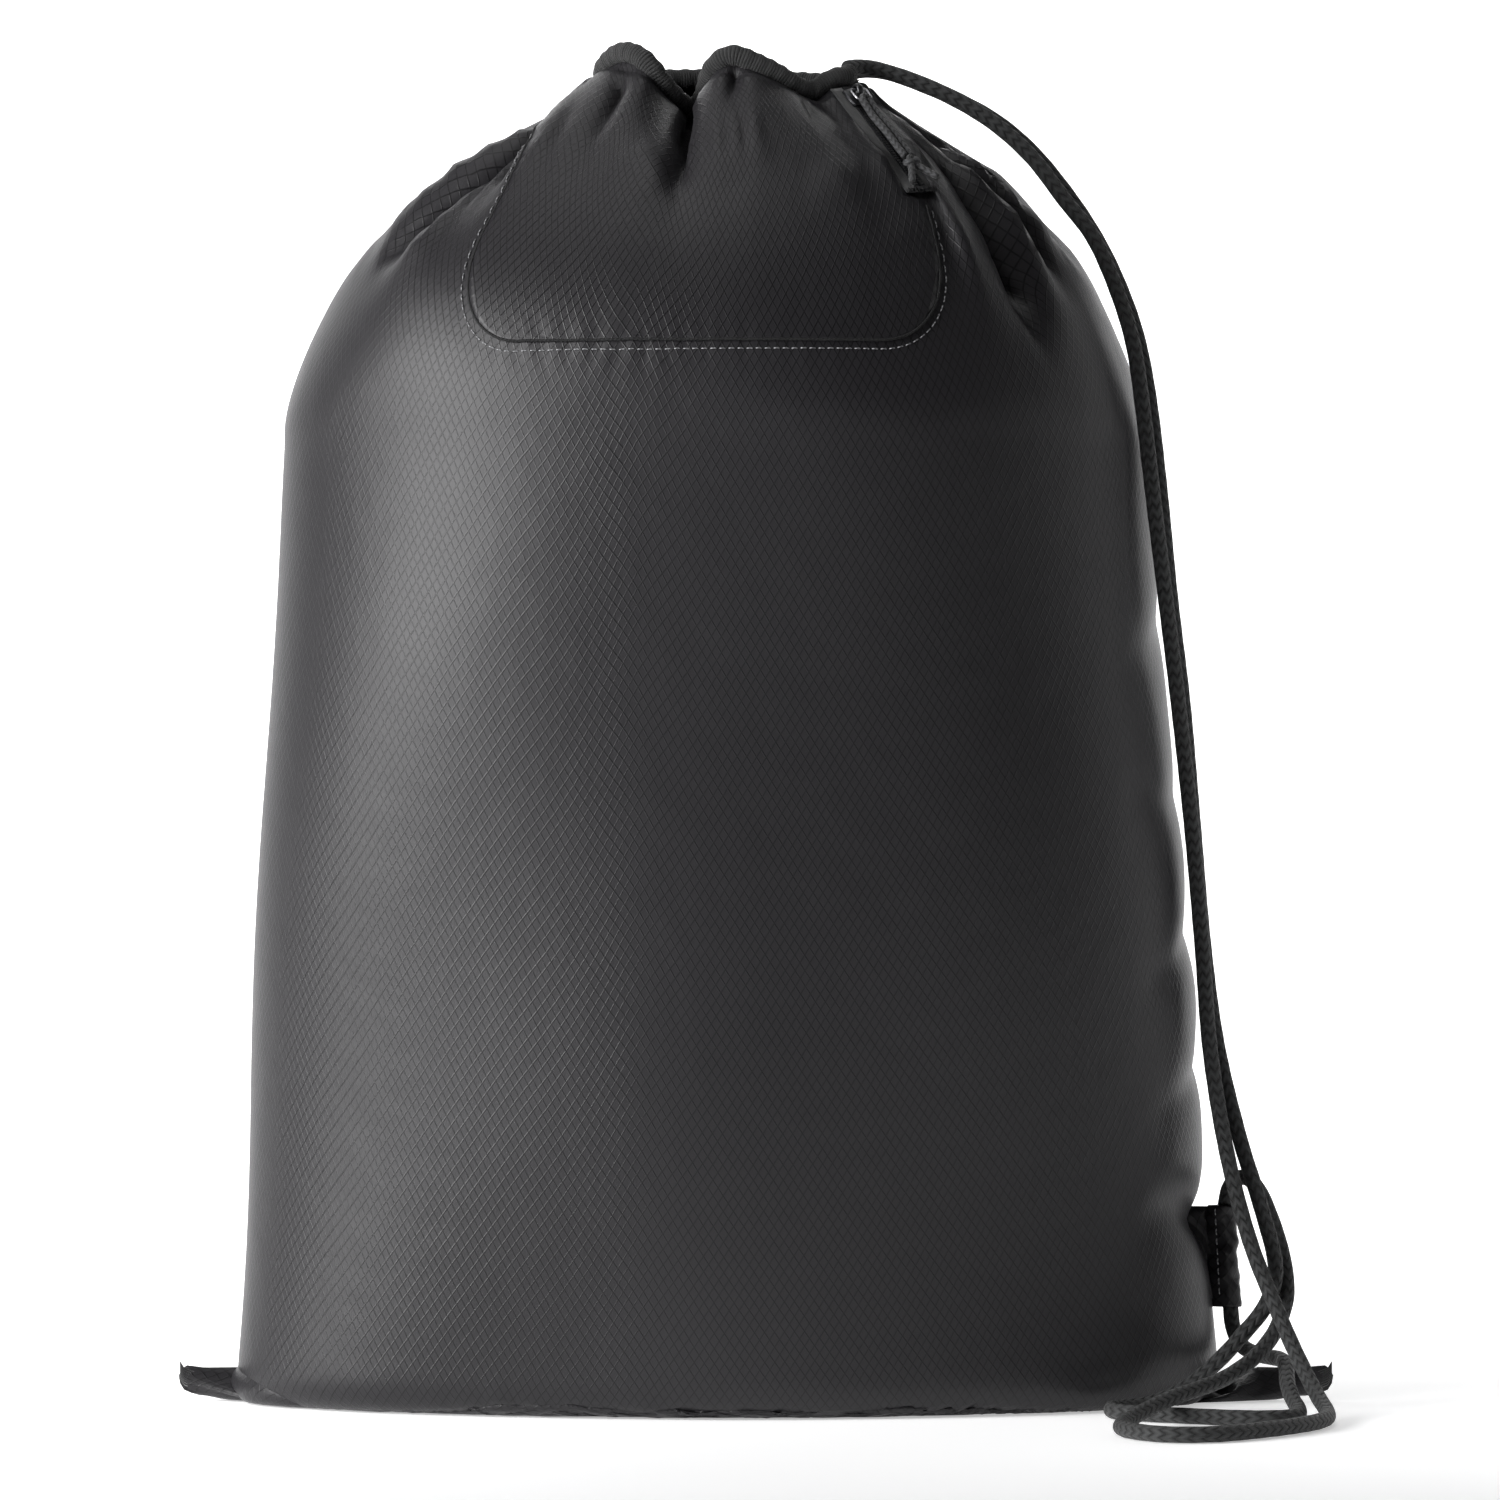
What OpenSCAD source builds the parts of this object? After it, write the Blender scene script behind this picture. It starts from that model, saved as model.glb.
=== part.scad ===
// Filled drawcord laundry bag of light ripstop cloth, standing on its base, in millimetres.
// +Z is up, the front with the stow pocket faces -Y, and the origin is on the floor under the middle.

/* [Bag] */
// Width of the filled bag just above the floor
base_w = 380; // [370:2:384]
// Width of the filled bag where the shoulder starts
shoulder_w = 330; // [320:2:334]
// Depth of the filled bag just above the floor
base_d = 190; // [180:2:200]
// Depth of the filled bag where the shoulder starts
shoulder_d = 232; // [224:2:236]
// Height at which the shoulder starts to close in
shoulder_z = 368; // [366:1:370]
// Height of the mouth's edge, where the drawcord tunnel is sewn on
neck_z = 504; // [503:1:505]
// Reach of each bottom corner from the middle, half the flat width of the bag
ear_reach = 222; // [215:1:228]
// Height of the pinched bottom corners
ear_h = 22; // [18:1:26]
// Thickness of the cloth walls, which stand for cloth and its slack
wall = 2; // [1.6:0.2:2.4]

/* [Drawcord] */
// Diameter of the braided drawcord
cord_d = 6; // [5:0.2:6]
// Height of the drawcord tunnel
tunnel_h = 14; // [13:1:16]
// Thickness of the tape that the tunnel is folded from
tape_t = 1; // [0.8:0.1:1.2]

/* [Pocket and zip] */
// Thickness of the stow pocket's cloth
pocket_t = 1.2; // [1:0.1:1.4]
// Length of the zip
zip_l = 66; // [64:1:68]
// Width of the zip's coil
coil_w = 4; // [3.8:0.1:4.2]
// Length of the slider
slider_l = 10; // [9:0.5:10]
// Length of the doubled pull cord
pull_l = 38; // [34:1:42]

/* [Corner tab] */
// Height of the folded corner tab
tab_h = 39; // [38:0.5:39.5]
// Outer width of the folded corner tab
tab_w = 9; // [8.8:0.1:9.2]

/* [Hidden] */

cloth = [0.24, 0.23, 0.25];
inner_cloth = [0.18, 0.17, 0.19];
black_tape = [0.10, 0.10, 0.11];
braid = [0.15, 0.15, 0.16];
thread = [0.36, 0.36, 0.38];
zip_metal = [0.30, 0.30, 0.32];

dome_h = 144;           // height of the ellipse that the shoulder follows
base_round = 12;        // radius of the bag's bottom edge
seam_gap = 1;           // room between the panels for the turned-in seam
seam_t = 0.8;           // thickness of the turned-in seam allowance
seam_in = 9;            // how far the seam allowance reaches inwards
lift = 0.4;             // clearance between one layer of cloth and the next
panel_cols = 30;        // strips across one panel
cord_sides = 8;         // sides of each cord's tube
stitch_r = 0.35;        // radius of a stitch
stitch_out = 0.4;       // from the cloth to the middle of a stitch that lies on it

// How far the bag's middle leans to the left, against height.
lean_at = [[0, -10], [300, -14], [420, -15], [480, -11], [520, -11]];

// Rows of a panel: close at the bottom edge, even up the body, and by angle over the shoulder.
neck_angle = asin((neck_z - shoulder_z) / dome_h);
row_z = concat([0, 2, 5, 9, 14, 20, 28],
               [for (i = [1:9]) 28 + i * 34],
               [for (i = [0:12]) shoulder_z + dome_h * sin(neck_angle * i / 12)]);

// ---------- shape of the bag ----------

function lean(z) = lookup(z, lean_at);

// Loss of half width and half depth where the bottom edge is rounded.
function edge_loss(z) =
    z >= base_round ? 0 : base_round - sqrt(pow(base_round, 2) - pow(base_round - z, 2));

function dome(z, out) = sqrt(max(0, 1 - pow((z - shoulder_z) / (dome_h + out), 2)));

// Half width and half depth of the bag at height z, for a skin that lies out from the outside.
function half_w(z, out) =
    z > shoulder_z ? (shoulder_w / 2 + out) * dome(z, out)
                   : (base_w + (shoulder_w - base_w) * z / shoulder_z) / 2 - edge_loss(z) + out;
function half_d(z, out) =
    z > shoulder_z ? (shoulder_d / 2 + out) * dome(z, out)
                   : (base_d + (shoulder_d - base_d) * sin(90 * z / shoulder_z)) / 2
                     - edge_loss(z) + out;

// Front surface at (x, z).
function front_y(x, z, out) =
    -half_d(z, out) * sqrt(max(0, 1 - pow((x - lean(z)) / half_w(z, out), 2)));

// The pinched corners reach past the body near the floor.
function ear_share(z) = let (t = min(1, max(0, (z - 5) / (ear_h - 5)))) 1 - t * t * (3 - 2 * t);
function side_x(side, z, out) =
    let (body = lean(z) + side * half_w(z, out))
    body + (side * ear_reach - body) * ear_share(z);

// ---------- the flat that the zip holds in the shoulder ----------

zip_top = [34, -25, 501];
zip_foot = [64, -70, 456];
zip_along = unit(zip_foot - zip_top);
zip_lean_out = [0.27, -0.61, 0.75];
zip_out = unit(zip_lean_out - (zip_lean_out * zip_along) * zip_along);
zip_across = cross(zip_along, zip_out);

function unit(v) = v / norm(v);

// A point that would stand proud of the zip's flat is pressed back onto it.
function pressed(p, out) = p - max(0, (p - zip_top) * zip_out + lift - out) * zip_out;

// Places children in the zip's own frame: X across, Y along towards its foot, Z out of the cloth.
module on_zip() {
    multmatrix([for (i = [0:2]) [zip_across[i], zip_along[i], zip_out[i], zip_top[i]]])
        children();
}

// ---------- meshes ----------

// Two triangles for each cell of a grid of points, with rows of width n.
function cells(rows, n, start, flip) =
    [for (r = [0:rows - 2], c = [0:n - 2])
        let (a = start + r * n + c, b = a + 1, d = a + n, e = d + 1)
        each flip ? [[a, d, b], [b, d, e]] : [[a, b, d], [b, e, d]]];

// Two triangles for each step along a pair of index lists.
function strip(p, q) =
    [for (i = [0:len(p) - 2]) each [[p[i], p[i + 1], q[i]], [p[i + 1], q[i + 1], q[i]]]];

function shifted(indices, by) = [for (i = indices) i + by];

// A closed solid between two grids of points, outside and inside. Seen from outside, each row
// runs to the right and the rows go up.
module thick_sheet(outer, inner, rows, n) {
    k = rows * n;
    first = [for (c = [0:n - 1]) c];
    left = [for (r = [0:rows - 1]) r * n];
    last = shifted(first, k - n);
    right = shifted(left, n - 1);
    polyhedron(concat(outer, inner), concat(
        cells(rows, n, 0, true),
        cells(rows, n, k, false),
        strip(first, shifted(first, k)),
        strip(shifted(last, k), last),
        strip(shifted(left, k), left),
        strip(right, shifted(right, k))));
}

// A smooth route through hand-placed points, with two rings for each stretch.
function spline(p, i, t) =
    let (n = len(p) - 1,
         a = p[max(0, i - 1)], b = p[i], c = p[min(n, i + 1)], d = p[min(n, i + 2)])
    0.5 * (2 * b + (c - a) * t + (2 * a - 5 * b + 4 * c - d) * t * t
           + (3 * b - a - 3 * c + d) * t * t * t);
function smooth_route(p) =
    concat([for (i = [0:len(p) - 2], t = [0, 0.5]) spline(p, i, t)], [p[len(p) - 1]]);

// Carries one side direction along a route, so that a tube doesn't twist.
function headings(p) = [for (i = [0:len(p) - 1])
    unit(p[min(len(p) - 1, i + 1)] - p[max(0, i - 1)])];
function carried(heads, i, side) =
    i == len(heads) ? [] :
    let (s = unit(side - (side * heads[i]) * heads[i]))
    concat([s], carried(heads, i + 1, s));

// A round tube along a route.
module tube(route, r, sides) {
    heads = headings(route);
    across = carried(heads, 0, [0.3, 0.2, 0.93]);
    n = len(route);
    points = [for (i = [0:n - 1], k = [0:sides - 1])
        route[i] + r * (cos(360 * k / sides) * across[i]
                        + sin(360 * k / sides) * cross(heads[i], across[i]))];
    body = [for (i = [0:n - 2], k = [0:sides - 1])
        let (a = i * sides + k, b = i * sides + (k + 1) % sides)
        each [[a, a + sides, b], [b, a + sides, b + sides]]];
    start = [for (k = [0:sides - 1]) k];
    end = [for (k = [0:sides - 1]) n * sides - 1 - k];
    polyhedron(points, concat(body, [start, end]));
}

// Stitches along a list of points, from each even point to the next odd one.
module stitches(points) {
    for (i = [0:2:len(points) - 2])
        let (v = points[i + 1] - points[i])
            translate(points[i])
                rotate([0, acos(v.z / norm(v)), atan2(v.y, v.x)])
                    cylinder(h = norm(v), r = stitch_r, $fn = 6);
}

// ---------- panels and seams ----------

// One point of a panel. Column 0 and the last one are the side seams.
function panel_point(c, z, out) =
    let (seam = c == 0 || c == panel_cols,
         angle = 180 * c / panel_cols,
         edge_y = seam_gap / 2 + wall + out,
         x = seam ? side_x(c == 0 ? -1 : 1, z, out) : lean(z) - half_w(z, out) * cos(angle))
    [x, seam ? -edge_y : -max(edge_y, half_d(z, out) * sin(angle)), z];

// The front half of the bag, from the bottom seam to the mouth. The front panel is pressed
// onto the zip's flat, and the back panel is round all over.
module panel(zip_flat) {
    function point(c, z, out) =
        let (p = panel_point(c, z, out), q = zip_flat ? pressed(p, out) : p)
        [q.x, q.y, max(q.z, -out)];
    function row(z, out) = [for (c = [0:panel_cols]) point(c, z, out)];
    function floor_row(out) = [for (p = row(0, out)) [p.x, -seam_gap / 2, -out]];
    function skin(out) = concat(floor_row(out), [for (z = row_z) each row(z, out)]);
    thick_sheet(skin(0), skin(-wall), len(row_z) + 1, panel_cols + 1);
}

module front_panel() {
    color(cloth) panel(true);
}

module back_panel() {
    color(cloth) mirror([0, 1, 0]) panel(false);
}

// Seam allowance turned in between the panels along one side.
module side_seam(side) {
    heights = [for (z = row_z) if (z > base_round && z < neck_z) z];
    outer = [for (z = heights) [side_x(side, z, -lift), z]];
    inner = [for (i = [len(heights) - 1:-1:0])
        [side_x(side, heights[i], -lift - seam_in), heights[i]]];
    color(inner_cloth)
        rotate([90, 0, 0])
            linear_extrude(seam_t, center = true)
                polygon(concat(outer, inner));
}

module side_seam_left() {
    side_seam(-1);
}

module side_seam_right() {
    side_seam(1);
}

module bottom_seam() {
    color(inner_cloth)
        translate([wall - ear_reach, -seam_t / 2, lift])
            cube([2 * (ear_reach - wall), seam_t, base_round - lift]);
}

// ---------- mouth ----------

tunnel_in = cord_d / 2 + 0.7;       // from the cord's middle to the tunnel's inside
tunnel_far = tunnel_in + tape_t;    // from the cord's middle to the tunnel's outside
tunnel_round = 1.5;                 // bevel of the fold along the tunnel's top
rim_in = 3.5;                       // from the neck's edge to the middle of the tunnel's ring
rim_w = half_w(neck_z, 0) - rim_in;
rim_d = half_d(neck_z, 0) - rim_in;
rim_open = 25;                      // half the angle that is left open for the cord to leave
rim_steps = 36;
rim_cord_z = neck_z + tunnel_h / 2;
tunnel_stitches = 48;
stitch_margin = 3;                  // degrees without stitches at each end of the tunnel
stitch_up = 2.5;                    // height of the stitches above the tunnel's lower edge

function rim_point(a, out, z) =
    [lean(neck_z) + (rim_w + out) * cos(a), (rim_d + out) * sin(a), z];

// Points on the ring from one end of the opening to the other, less a margin at each end.
function rim_angles(n, margin) =
    let (first = rim_open + margin)
    [for (i = [0:n]) first + (360 - 2 * first) * i / n];

// Tape folded over the drawcord: inner wall, fold and outer wall.
module drawcord_tunnel() {
    function fold(half, top, round) = [[-half, 0], [-half, top - round], [round - half, top],
                                       [half - round, top], [half, top - round], [half, 0]];
    function swept(profile) =
        [for (a = rim_angles(rim_steps, 0)) each
            [for (p = profile) rim_point(a, p[0], neck_z + p[1])]];
    profile = fold(tunnel_far, tunnel_h, tunnel_round);
    color(black_tape)
        thick_sheet(swept(profile), swept(fold(tunnel_in, tunnel_h - tape_t, 1)),
                    rim_steps + 1, len(profile));
}

module tunnel_stitching() {
    color(thread)
        stitches([for (a = rim_angles(2 * tunnel_stitches - 1, stitch_margin))
            rim_point(a, tunnel_far + stitch_out, neck_z + stitch_up)]);
}

module drawcord_in_tunnel() {
    color(braid)
        tube([for (a = rim_angles(rim_steps, 0)) rim_point(a, 0, rim_cord_z)], cord_d / 2, cord_sides);
}

// ---------- stow pocket ----------

pocket_left = -113;      // left edge of the pocket
pocket_right = 66;       // right edge of the pocket, below the zip
pocket_z = 402;          // lower edge of the pocket
pocket_corner = 34;      // radius of its lower corners
pocket_cols = 18;        // strips across the pocket
pocket_rows = [402, 403.5, 406, 410, 416, 424, 434, 444, 454, 464, 474, 483, 491, 497, 500];

// How far the upper left edge has closed in, and where the edge beside the zip runs.
left_loss_at = [[440, 0], [470, 11.4], [488, 36.1], [500, 55.1]];
zip_edge_at = [[448, 52], [456, 50], [501, 22]];

// Loss of width where a lower corner is rounded.
function corner_loss(z) =
    let (h = pocket_corner - (z - pocket_z))
    h <= 0 ? 0 : pocket_corner - sqrt(max(0, pow(pocket_corner, 2) - h * h));

// Place across the pocket at height z, with share 0 at its left edge and 1 at its right.
function pocket_x(z, share) =
    let (left = pocket_left + corner_loss(z) + lookup(z, left_loss_at),
         below_zip = pocket_right - corner_loss(z),
         right = z > zip_edge_at[0][0] ? min(below_zip, lookup(z, zip_edge_at)) : below_zip)
    left + (right - left) * share;

function pocket_grid(out) =
    [for (z = pocket_rows, c = [0:pocket_cols])
        let (x = pocket_x(z, c / pocket_cols))
        pressed([x, front_y(x, z, out), z], out)];

module stow_pocket() {
    color(cloth)
        thick_sheet(pocket_grid(lift + pocket_t), pocket_grid(lift),
                    len(pocket_rows), pocket_cols + 1);
}

// Topstitch just outside the pocket's edge, down one side, along the bottom and up the other.
module pocket_stitching() {
    beside = 3;          // from the pocket's edge to the stitches
    side_stitch = 3;     // length of a stitch up the sides
    floor_stitch = 4;    // length of a stitch along the bottom
    turn = 7.5;          // degrees of a corner for each stitch
    round_r = pocket_corner + beside;
    low_z = pocket_z - beside;
    left_x = pocket_left - beside;
    right_x = pocket_right + beside;
    outline = concat(
        [for (i = [8:-1:1]) [left_x, low_z + round_r + i * side_stitch]],
        [for (a = [180:turn:270]) [left_x + round_r * (1 + cos(a)), low_z + round_r * (1 + sin(a))]],
        [for (x = [left_x + round_r + floor_stitch:floor_stitch:right_x - round_r - floor_stitch / 2])
            [x, low_z]],
        [for (a = [270:turn:360]) [right_x + round_r * (cos(a) - 1), low_z + round_r * (1 + sin(a))]]);
    color(thread)
        stitches([for (p = outline) [p.x, front_y(p.x, p.y, stitch_out), p.y]]);
}

// ---------- zip ----------

// Heights are above the zip's flat, in its own frame.
tape_half = 7;          // half width of both zip tapes together
zip_tape_t = 0.5;       // thickness of the tapes
tape_low = 1.5;         // underside of the tapes
coil_low = 0.9;         // underside of the coil
coil_high = 2.7;        // top of the coil
coil_gap = 1;           // gap between the halves, where the slider's divider runs
coil_pitch = 1.5;       // distance between two turns
turn_w = 0.7;           // width of one turn
core_in = 0.3;          // how far the coil's core lies inside the turns
stop_l = 1.6;           // length of each stop along the zip
stop_in = 0.2;          // from each end of the zip to its stop
slider_w = 8;           // width of the slider
plate_t = 0.7;          // thickness of the slider's plates
run = 0.25;             // running clearance round the coil
divider_t = 0.5;        // thickness of the slider's divider
divider_l = 2.5;        // length of the slider's divider
slider_start = 3;       // how far below the zip's top the closed slider stands
bridge_y = 4.2;         // where the slider's bridge holds the bail
bridge_l = 4;           // length of the bridge
bridge_w = 3;           // width of the bridge
hinge_z = 6.4;          // height of the bail's wire
bail_r = 0.5;           // radius of the bail's wire
bail_w = 7;             // width of the bail
bail_l = 6;             // length of the bail
pull_r = 1.4;           // radius of each strand of the doubled pull cord
eye_r = 1.9;            // radius of the cord's turn round the bail
knot_r = 3.2;           // radius of the knot at the end of the pull cord
tail_l = 11;            // length of the tails behind the knot
tail_spread = 24;       // degrees that each tail leaves the pull's line

// In the zip's frame +X points to the left of the bag, so the left half has side 1.
module zip_tape(side) {
    color(black_tape) on_zip()
        translate([side > 0 ? coil_w / 2 : -tape_half, 0, tape_low])
            cube([tape_half - coil_w / 2, zip_l, zip_tape_t]);
}

module zipper_tape_left() {
    zip_tape(1);
}

module zipper_tape_right() {
    zip_tape(-1);
}

// One half of the coil: a row of turns on a core, with a gap to the other half.
module coil_half(side) {
    half = (coil_w - coil_gap) / 2;
    x = side > 0 ? coil_gap / 2 : -coil_w / 2;
    first = slider_start;
    last = zip_l - stop_in - stop_l;
    color(black_tape) on_zip() {
        translate([x, first, coil_low + core_in])
            cube([half, last - first, coil_high - coil_low - 2 * core_in]);
        for (y = [first + 0.6:coil_pitch:last - turn_w])
            translate([x, y, coil_low])
                cube([half, turn_w, coil_high - coil_low]);
    }
}

module zipper_coil_left() {
    coil_half(1);
}

module zipper_coil_right() {
    coil_half(-1);
}

// A stop that is clamped between the tapes, from y along the zip.
module zip_stop(y) {
    color(zip_metal) on_zip()
        translate([-coil_w / 2, y, coil_low])
            cube([coil_w, stop_l, coil_high - coil_low]);
}

module zipper_top_stop() {
    zip_stop(stop_in);
}

module zipper_bottom_stop() {
    zip_stop(zip_l - stop_in - stop_l);
}

// Two plates round the coil, joined by a thin divider at the mouth end, with a bridge for the bail.
module zipper_slider() {
    low = coil_low - run - plate_t;
    high = coil_high + run + plate_t;
    color(zip_metal) on_zip() translate([0, slider_start, 0]) {
        difference() {
            translate([-slider_w / 2, 0, low])
                cube([slider_w, slider_l, high - low]);
            translate([-coil_w / 2 - run, -1, coil_low - run])
                cube([coil_w + 2 * run, slider_l + 2, coil_high - coil_low + 2 * run]);
            translate([-slider_w, -1, tape_low - run])
                cube([2 * slider_w, slider_l + 2, zip_tape_t + 2 * run]);
        }
        translate([-divider_t / 2, 0, low + plate_t / 2])
            cube([divider_t, divider_l, high - low - plate_t]);
        difference() {
            translate([-bridge_w / 2, bridge_y - bridge_l / 2, high])
                cube([bridge_w, bridge_l, hinge_z + 1.6 - high]);
            translate([-bridge_w, bridge_y, hinge_z])
                rotate([0, 90, 0]) cylinder(h = 2 * bridge_w, r = bail_r + run, $fn = 24);
        }
    }
}

// Places children at the bail's wire, y further along the pull.
module on_pull(y) {
    on_zip() translate([0, slider_start + bridge_y + y, hinge_z]) children();
}

// A wire loop through the bridge, lying along the zip.
module slider_bail() {
    color(zip_metal) on_pull(0) {
        for (y = [0, bail_l])
            translate([-bail_w / 2, y, 0])
                rotate([0, 90, 0]) cylinder(h = bail_w, r = bail_r, $fn = 24);
        for (x = [-bail_w / 2, bail_w / 2]) {
            translate([x, 0, 0])
                rotate([-90, 0, 0]) cylinder(h = bail_l, r = bail_r, $fn = 24);
            for (y = [0, bail_l])
                translate([x, y, 0]) sphere(bail_r, $fn = 24);
        }
    }
}

// Doubled cord looped round the bail's end. The two strands are pressed into each other a little.
module pull_cord() {
    strand_x = pull_r - 0.1;
    color(braid) on_pull(bail_l) {
        difference() {
            translate([-2 * pull_r, 0, 0])
                rotate([0, 90, 0]) cylinder(h = 4 * pull_r, r = eye_r, $fn = 24);
            translate([-2 * pull_r - 1, 0, 0])
                rotate([0, 90, 0]) cylinder(h = 4 * pull_r + 2, r = bail_r + 0.15, $fn = 24);
        }
        for (x = [-strand_x, strand_x])
            translate([x, pull_r, 0])
                rotate([-90, 0, 0]) cylinder(h = pull_l - pull_r, r = pull_r, $fn = 24);
    }
}

// Overhand knot with two short tails.
module pull_knot() {
    color(braid) on_pull(bail_l + pull_l) {
        translate([0, knot_r - 0.4, 0]) sphere(knot_r, $fn = 32);
        for (a = [-tail_spread, tail_spread])
            translate([0, knot_r, 0])
                rotate([-90, 0, a]) cylinder(h = tail_l, r = pull_r, $fn = 24);
    }
}

// ---------- corner tab ----------

tab_foot = [182.5, 0, 36];  // middle of the tab's lower end
tab_tilt = 3;               // degrees from upright, towards the bag at the top
tab_wall = 0.8;             // thickness of the folded cloth
tail_z = [40, 72];          // heights between which the tail is sewn into the side seam

// Side of the tab that faces the bag, at height z.
function tab_side(z) = tab_foot.x - (z - tab_foot.z) * tan(tab_tilt) - tab_w / 2;

// A short tube of folded cloth with a tail sewn into the side seam.
module corner_tab() {
    tail_in = 0.2;          // how far the tail reaches into the tube's wall
    color(cloth) {
        translate(tab_foot) rotate([0, -tab_tilt, 0])
            linear_extrude(tab_h)
                difference() {
                    square(tab_w, center = true);
                    square(tab_w - 2 * tab_wall, center = true);
                }
        rotate([90, 0, 0])
            linear_extrude(seam_t, center = true)
                polygon([for (z = tail_z) [side_x(1, z, 0), z],
                         for (z = [tail_z[1], tail_z[0]]) [tab_side(z) + tail_in, z]]);
    }
}

module tab_stitching() {
    from_edge = 1.2;        // from the tab's edge to the stitches
    stitch_l = 2.4;
    rows = [for (z = [tail_z[0] + 1:4:tail_z[1] - stitch_l]) each [z, z + stitch_l]];
    color(thread)
        stitches([for (z = rows) [tab_side(z) + from_edge, -tab_w / 2 - stitch_out, z]]);
}

// ---------- free drawcord ----------

// Front strand: mouth, shoulder, right side, front loop on the floor, up to the tab's top.
route_a = [
    [35, -14.5, 511], [40, -8, 512], [48, -5, 511], [60, -5, 507], [76, -6, 500],
    [92, -7, 490], [106, -9, 477], [118, -12, 461], [129, -17, 446], [137.5, -23, 426],
    [143.5, -30, 405], [147, -35, 380], [151, -37, 345], [156, -35, 305], [161, -32, 265],
    [166, -29, 220], [170, -28, 175], [173, -30, 135], [179, -38, 96], [187, -47, 64],
    [196, -58, 40], [203, -70, 23], [209, -86, 10], [212, -106, 4], [209, -127, 3.2],
    [199, -149, 3.2], [184, -170, 3.2], [167, -187, 3.2], [150, -190, 3.2], [138, -178, 3.2],
    [133, -160, 3.2], [136, -141, 4], [145, -123, 7], [155, -108, 10], [165, -94, 12],
    [176, -79, 15], [187, -65, 21], [196, -52, 30], [201, -42.5, 41.5], [201.2, -35.5, 52],
    [199.3, -28.5, 62.5], [196.4, -22.2, 72], [193.2, -17.4, 80], [189.8, -12.8, 85],
    [186.6, -8.4, 86.2], [183.6, -4.3, 84.4], [181.4, -1.3, 80.5], [180.5, 0, 75]];

// Rear strand: mouth, shoulder, right side, rear loop on the floor, up to the tab's foot.
route_b = [
    [35, 14.5, 511], [40, 9, 512], [48, 5, 511.5], [60, 4, 508], [76, 3, 501],
    [92, 1, 492], [106, -1, 480], [119, -4, 464], [130, -8, 447], [138.5, -14, 429],
    [145.5, -21, 408], [150, -27, 383], [154, -29, 348], [158, -27, 308], [163, -24, 267],
    [167, -21, 222], [171, -20, 176], [176, -22, 138], [184, -29, 103], [192, -36, 76],
    [197, -42, 54], [193, -47, 40], [184, -51, 29], [173, -56, 18], [161, -60, 9],
    [148, -65, 4], [138, -71, 3.2], [133, -80, 3.2], [135, -92, 3.2], [145, -101, 3.2],
    [160, -110, 3.2], [178, -119, 3.2], [191, -120, 3.2], [199, -112, 3.2], [202, -99, 4],
    [200.5, -85, 7.5], [199.5, -72, 12], [200, -58, 17], [199, -45, 19], [195.5, -32, 19],
    [190.5, -20, 19.5], [186, -9.5, 22], [183.3, -3, 28], [182.5, 0, 36]];

module drawcord_strand_a() {
    color(braid) tube(smooth_route(route_a), cord_d / 2, cord_sides);
}

module drawcord_strand_b() {
    color(braid) tube(smooth_route(route_b), cord_d / 2, cord_sides);
}

// The stretch of cord that runs through the corner tab.
module drawcord_in_tab() {
    foot = route_b[len(route_b) - 1];
    top = route_a[len(route_a) - 1];
    color(braid) tube([foot, (foot + top) / 2, top], cord_d / 2, cord_sides);
}

front_panel();
back_panel();
side_seam_left();
side_seam_right();
bottom_seam();
drawcord_tunnel();
tunnel_stitching();
stow_pocket();
pocket_stitching();
zipper_tape_left();
zipper_tape_right();
zipper_coil_left();
zipper_coil_right();
zipper_top_stop();
zipper_bottom_stop();
zipper_slider();
slider_bail();
pull_cord();
pull_knot();
corner_tab();
tab_stitching();
drawcord_in_tunnel();
drawcord_strand_a();
drawcord_strand_b();
drawcord_in_tab();
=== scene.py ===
import math

import bpy
import numpy as np
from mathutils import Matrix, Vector


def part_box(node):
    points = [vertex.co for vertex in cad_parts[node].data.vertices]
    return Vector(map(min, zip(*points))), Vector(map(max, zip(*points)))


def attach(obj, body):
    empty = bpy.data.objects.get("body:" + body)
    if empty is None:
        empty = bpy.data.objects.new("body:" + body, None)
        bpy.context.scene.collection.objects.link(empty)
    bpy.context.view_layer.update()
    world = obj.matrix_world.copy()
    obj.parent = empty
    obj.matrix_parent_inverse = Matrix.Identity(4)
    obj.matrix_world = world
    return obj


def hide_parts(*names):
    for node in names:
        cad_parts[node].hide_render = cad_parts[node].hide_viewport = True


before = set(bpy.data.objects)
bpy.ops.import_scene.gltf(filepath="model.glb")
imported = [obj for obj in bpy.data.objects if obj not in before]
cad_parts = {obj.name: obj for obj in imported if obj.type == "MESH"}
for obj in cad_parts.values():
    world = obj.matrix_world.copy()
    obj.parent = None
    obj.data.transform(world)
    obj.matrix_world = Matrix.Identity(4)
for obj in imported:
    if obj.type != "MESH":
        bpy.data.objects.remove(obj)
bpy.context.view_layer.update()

# ---------------------------------------------------------------- camera and drawcord

scene = bpy.context.scene
camera = bpy.data.objects.new("camera", bpy.data.cameras.new("camera"))
scene.collection.objects.link(camera)
camera.data.sensor_width = 36
camera.data.lens = 189.4
camera.location = (-0.0023, -3.035, 0.25)
camera.rotation_euler = (math.pi / 2, 0, 0)
camera.data.clip_start, camera.data.clip_end = 0.1, 60
scene.camera = camera

CORD_R = 0.003
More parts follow.
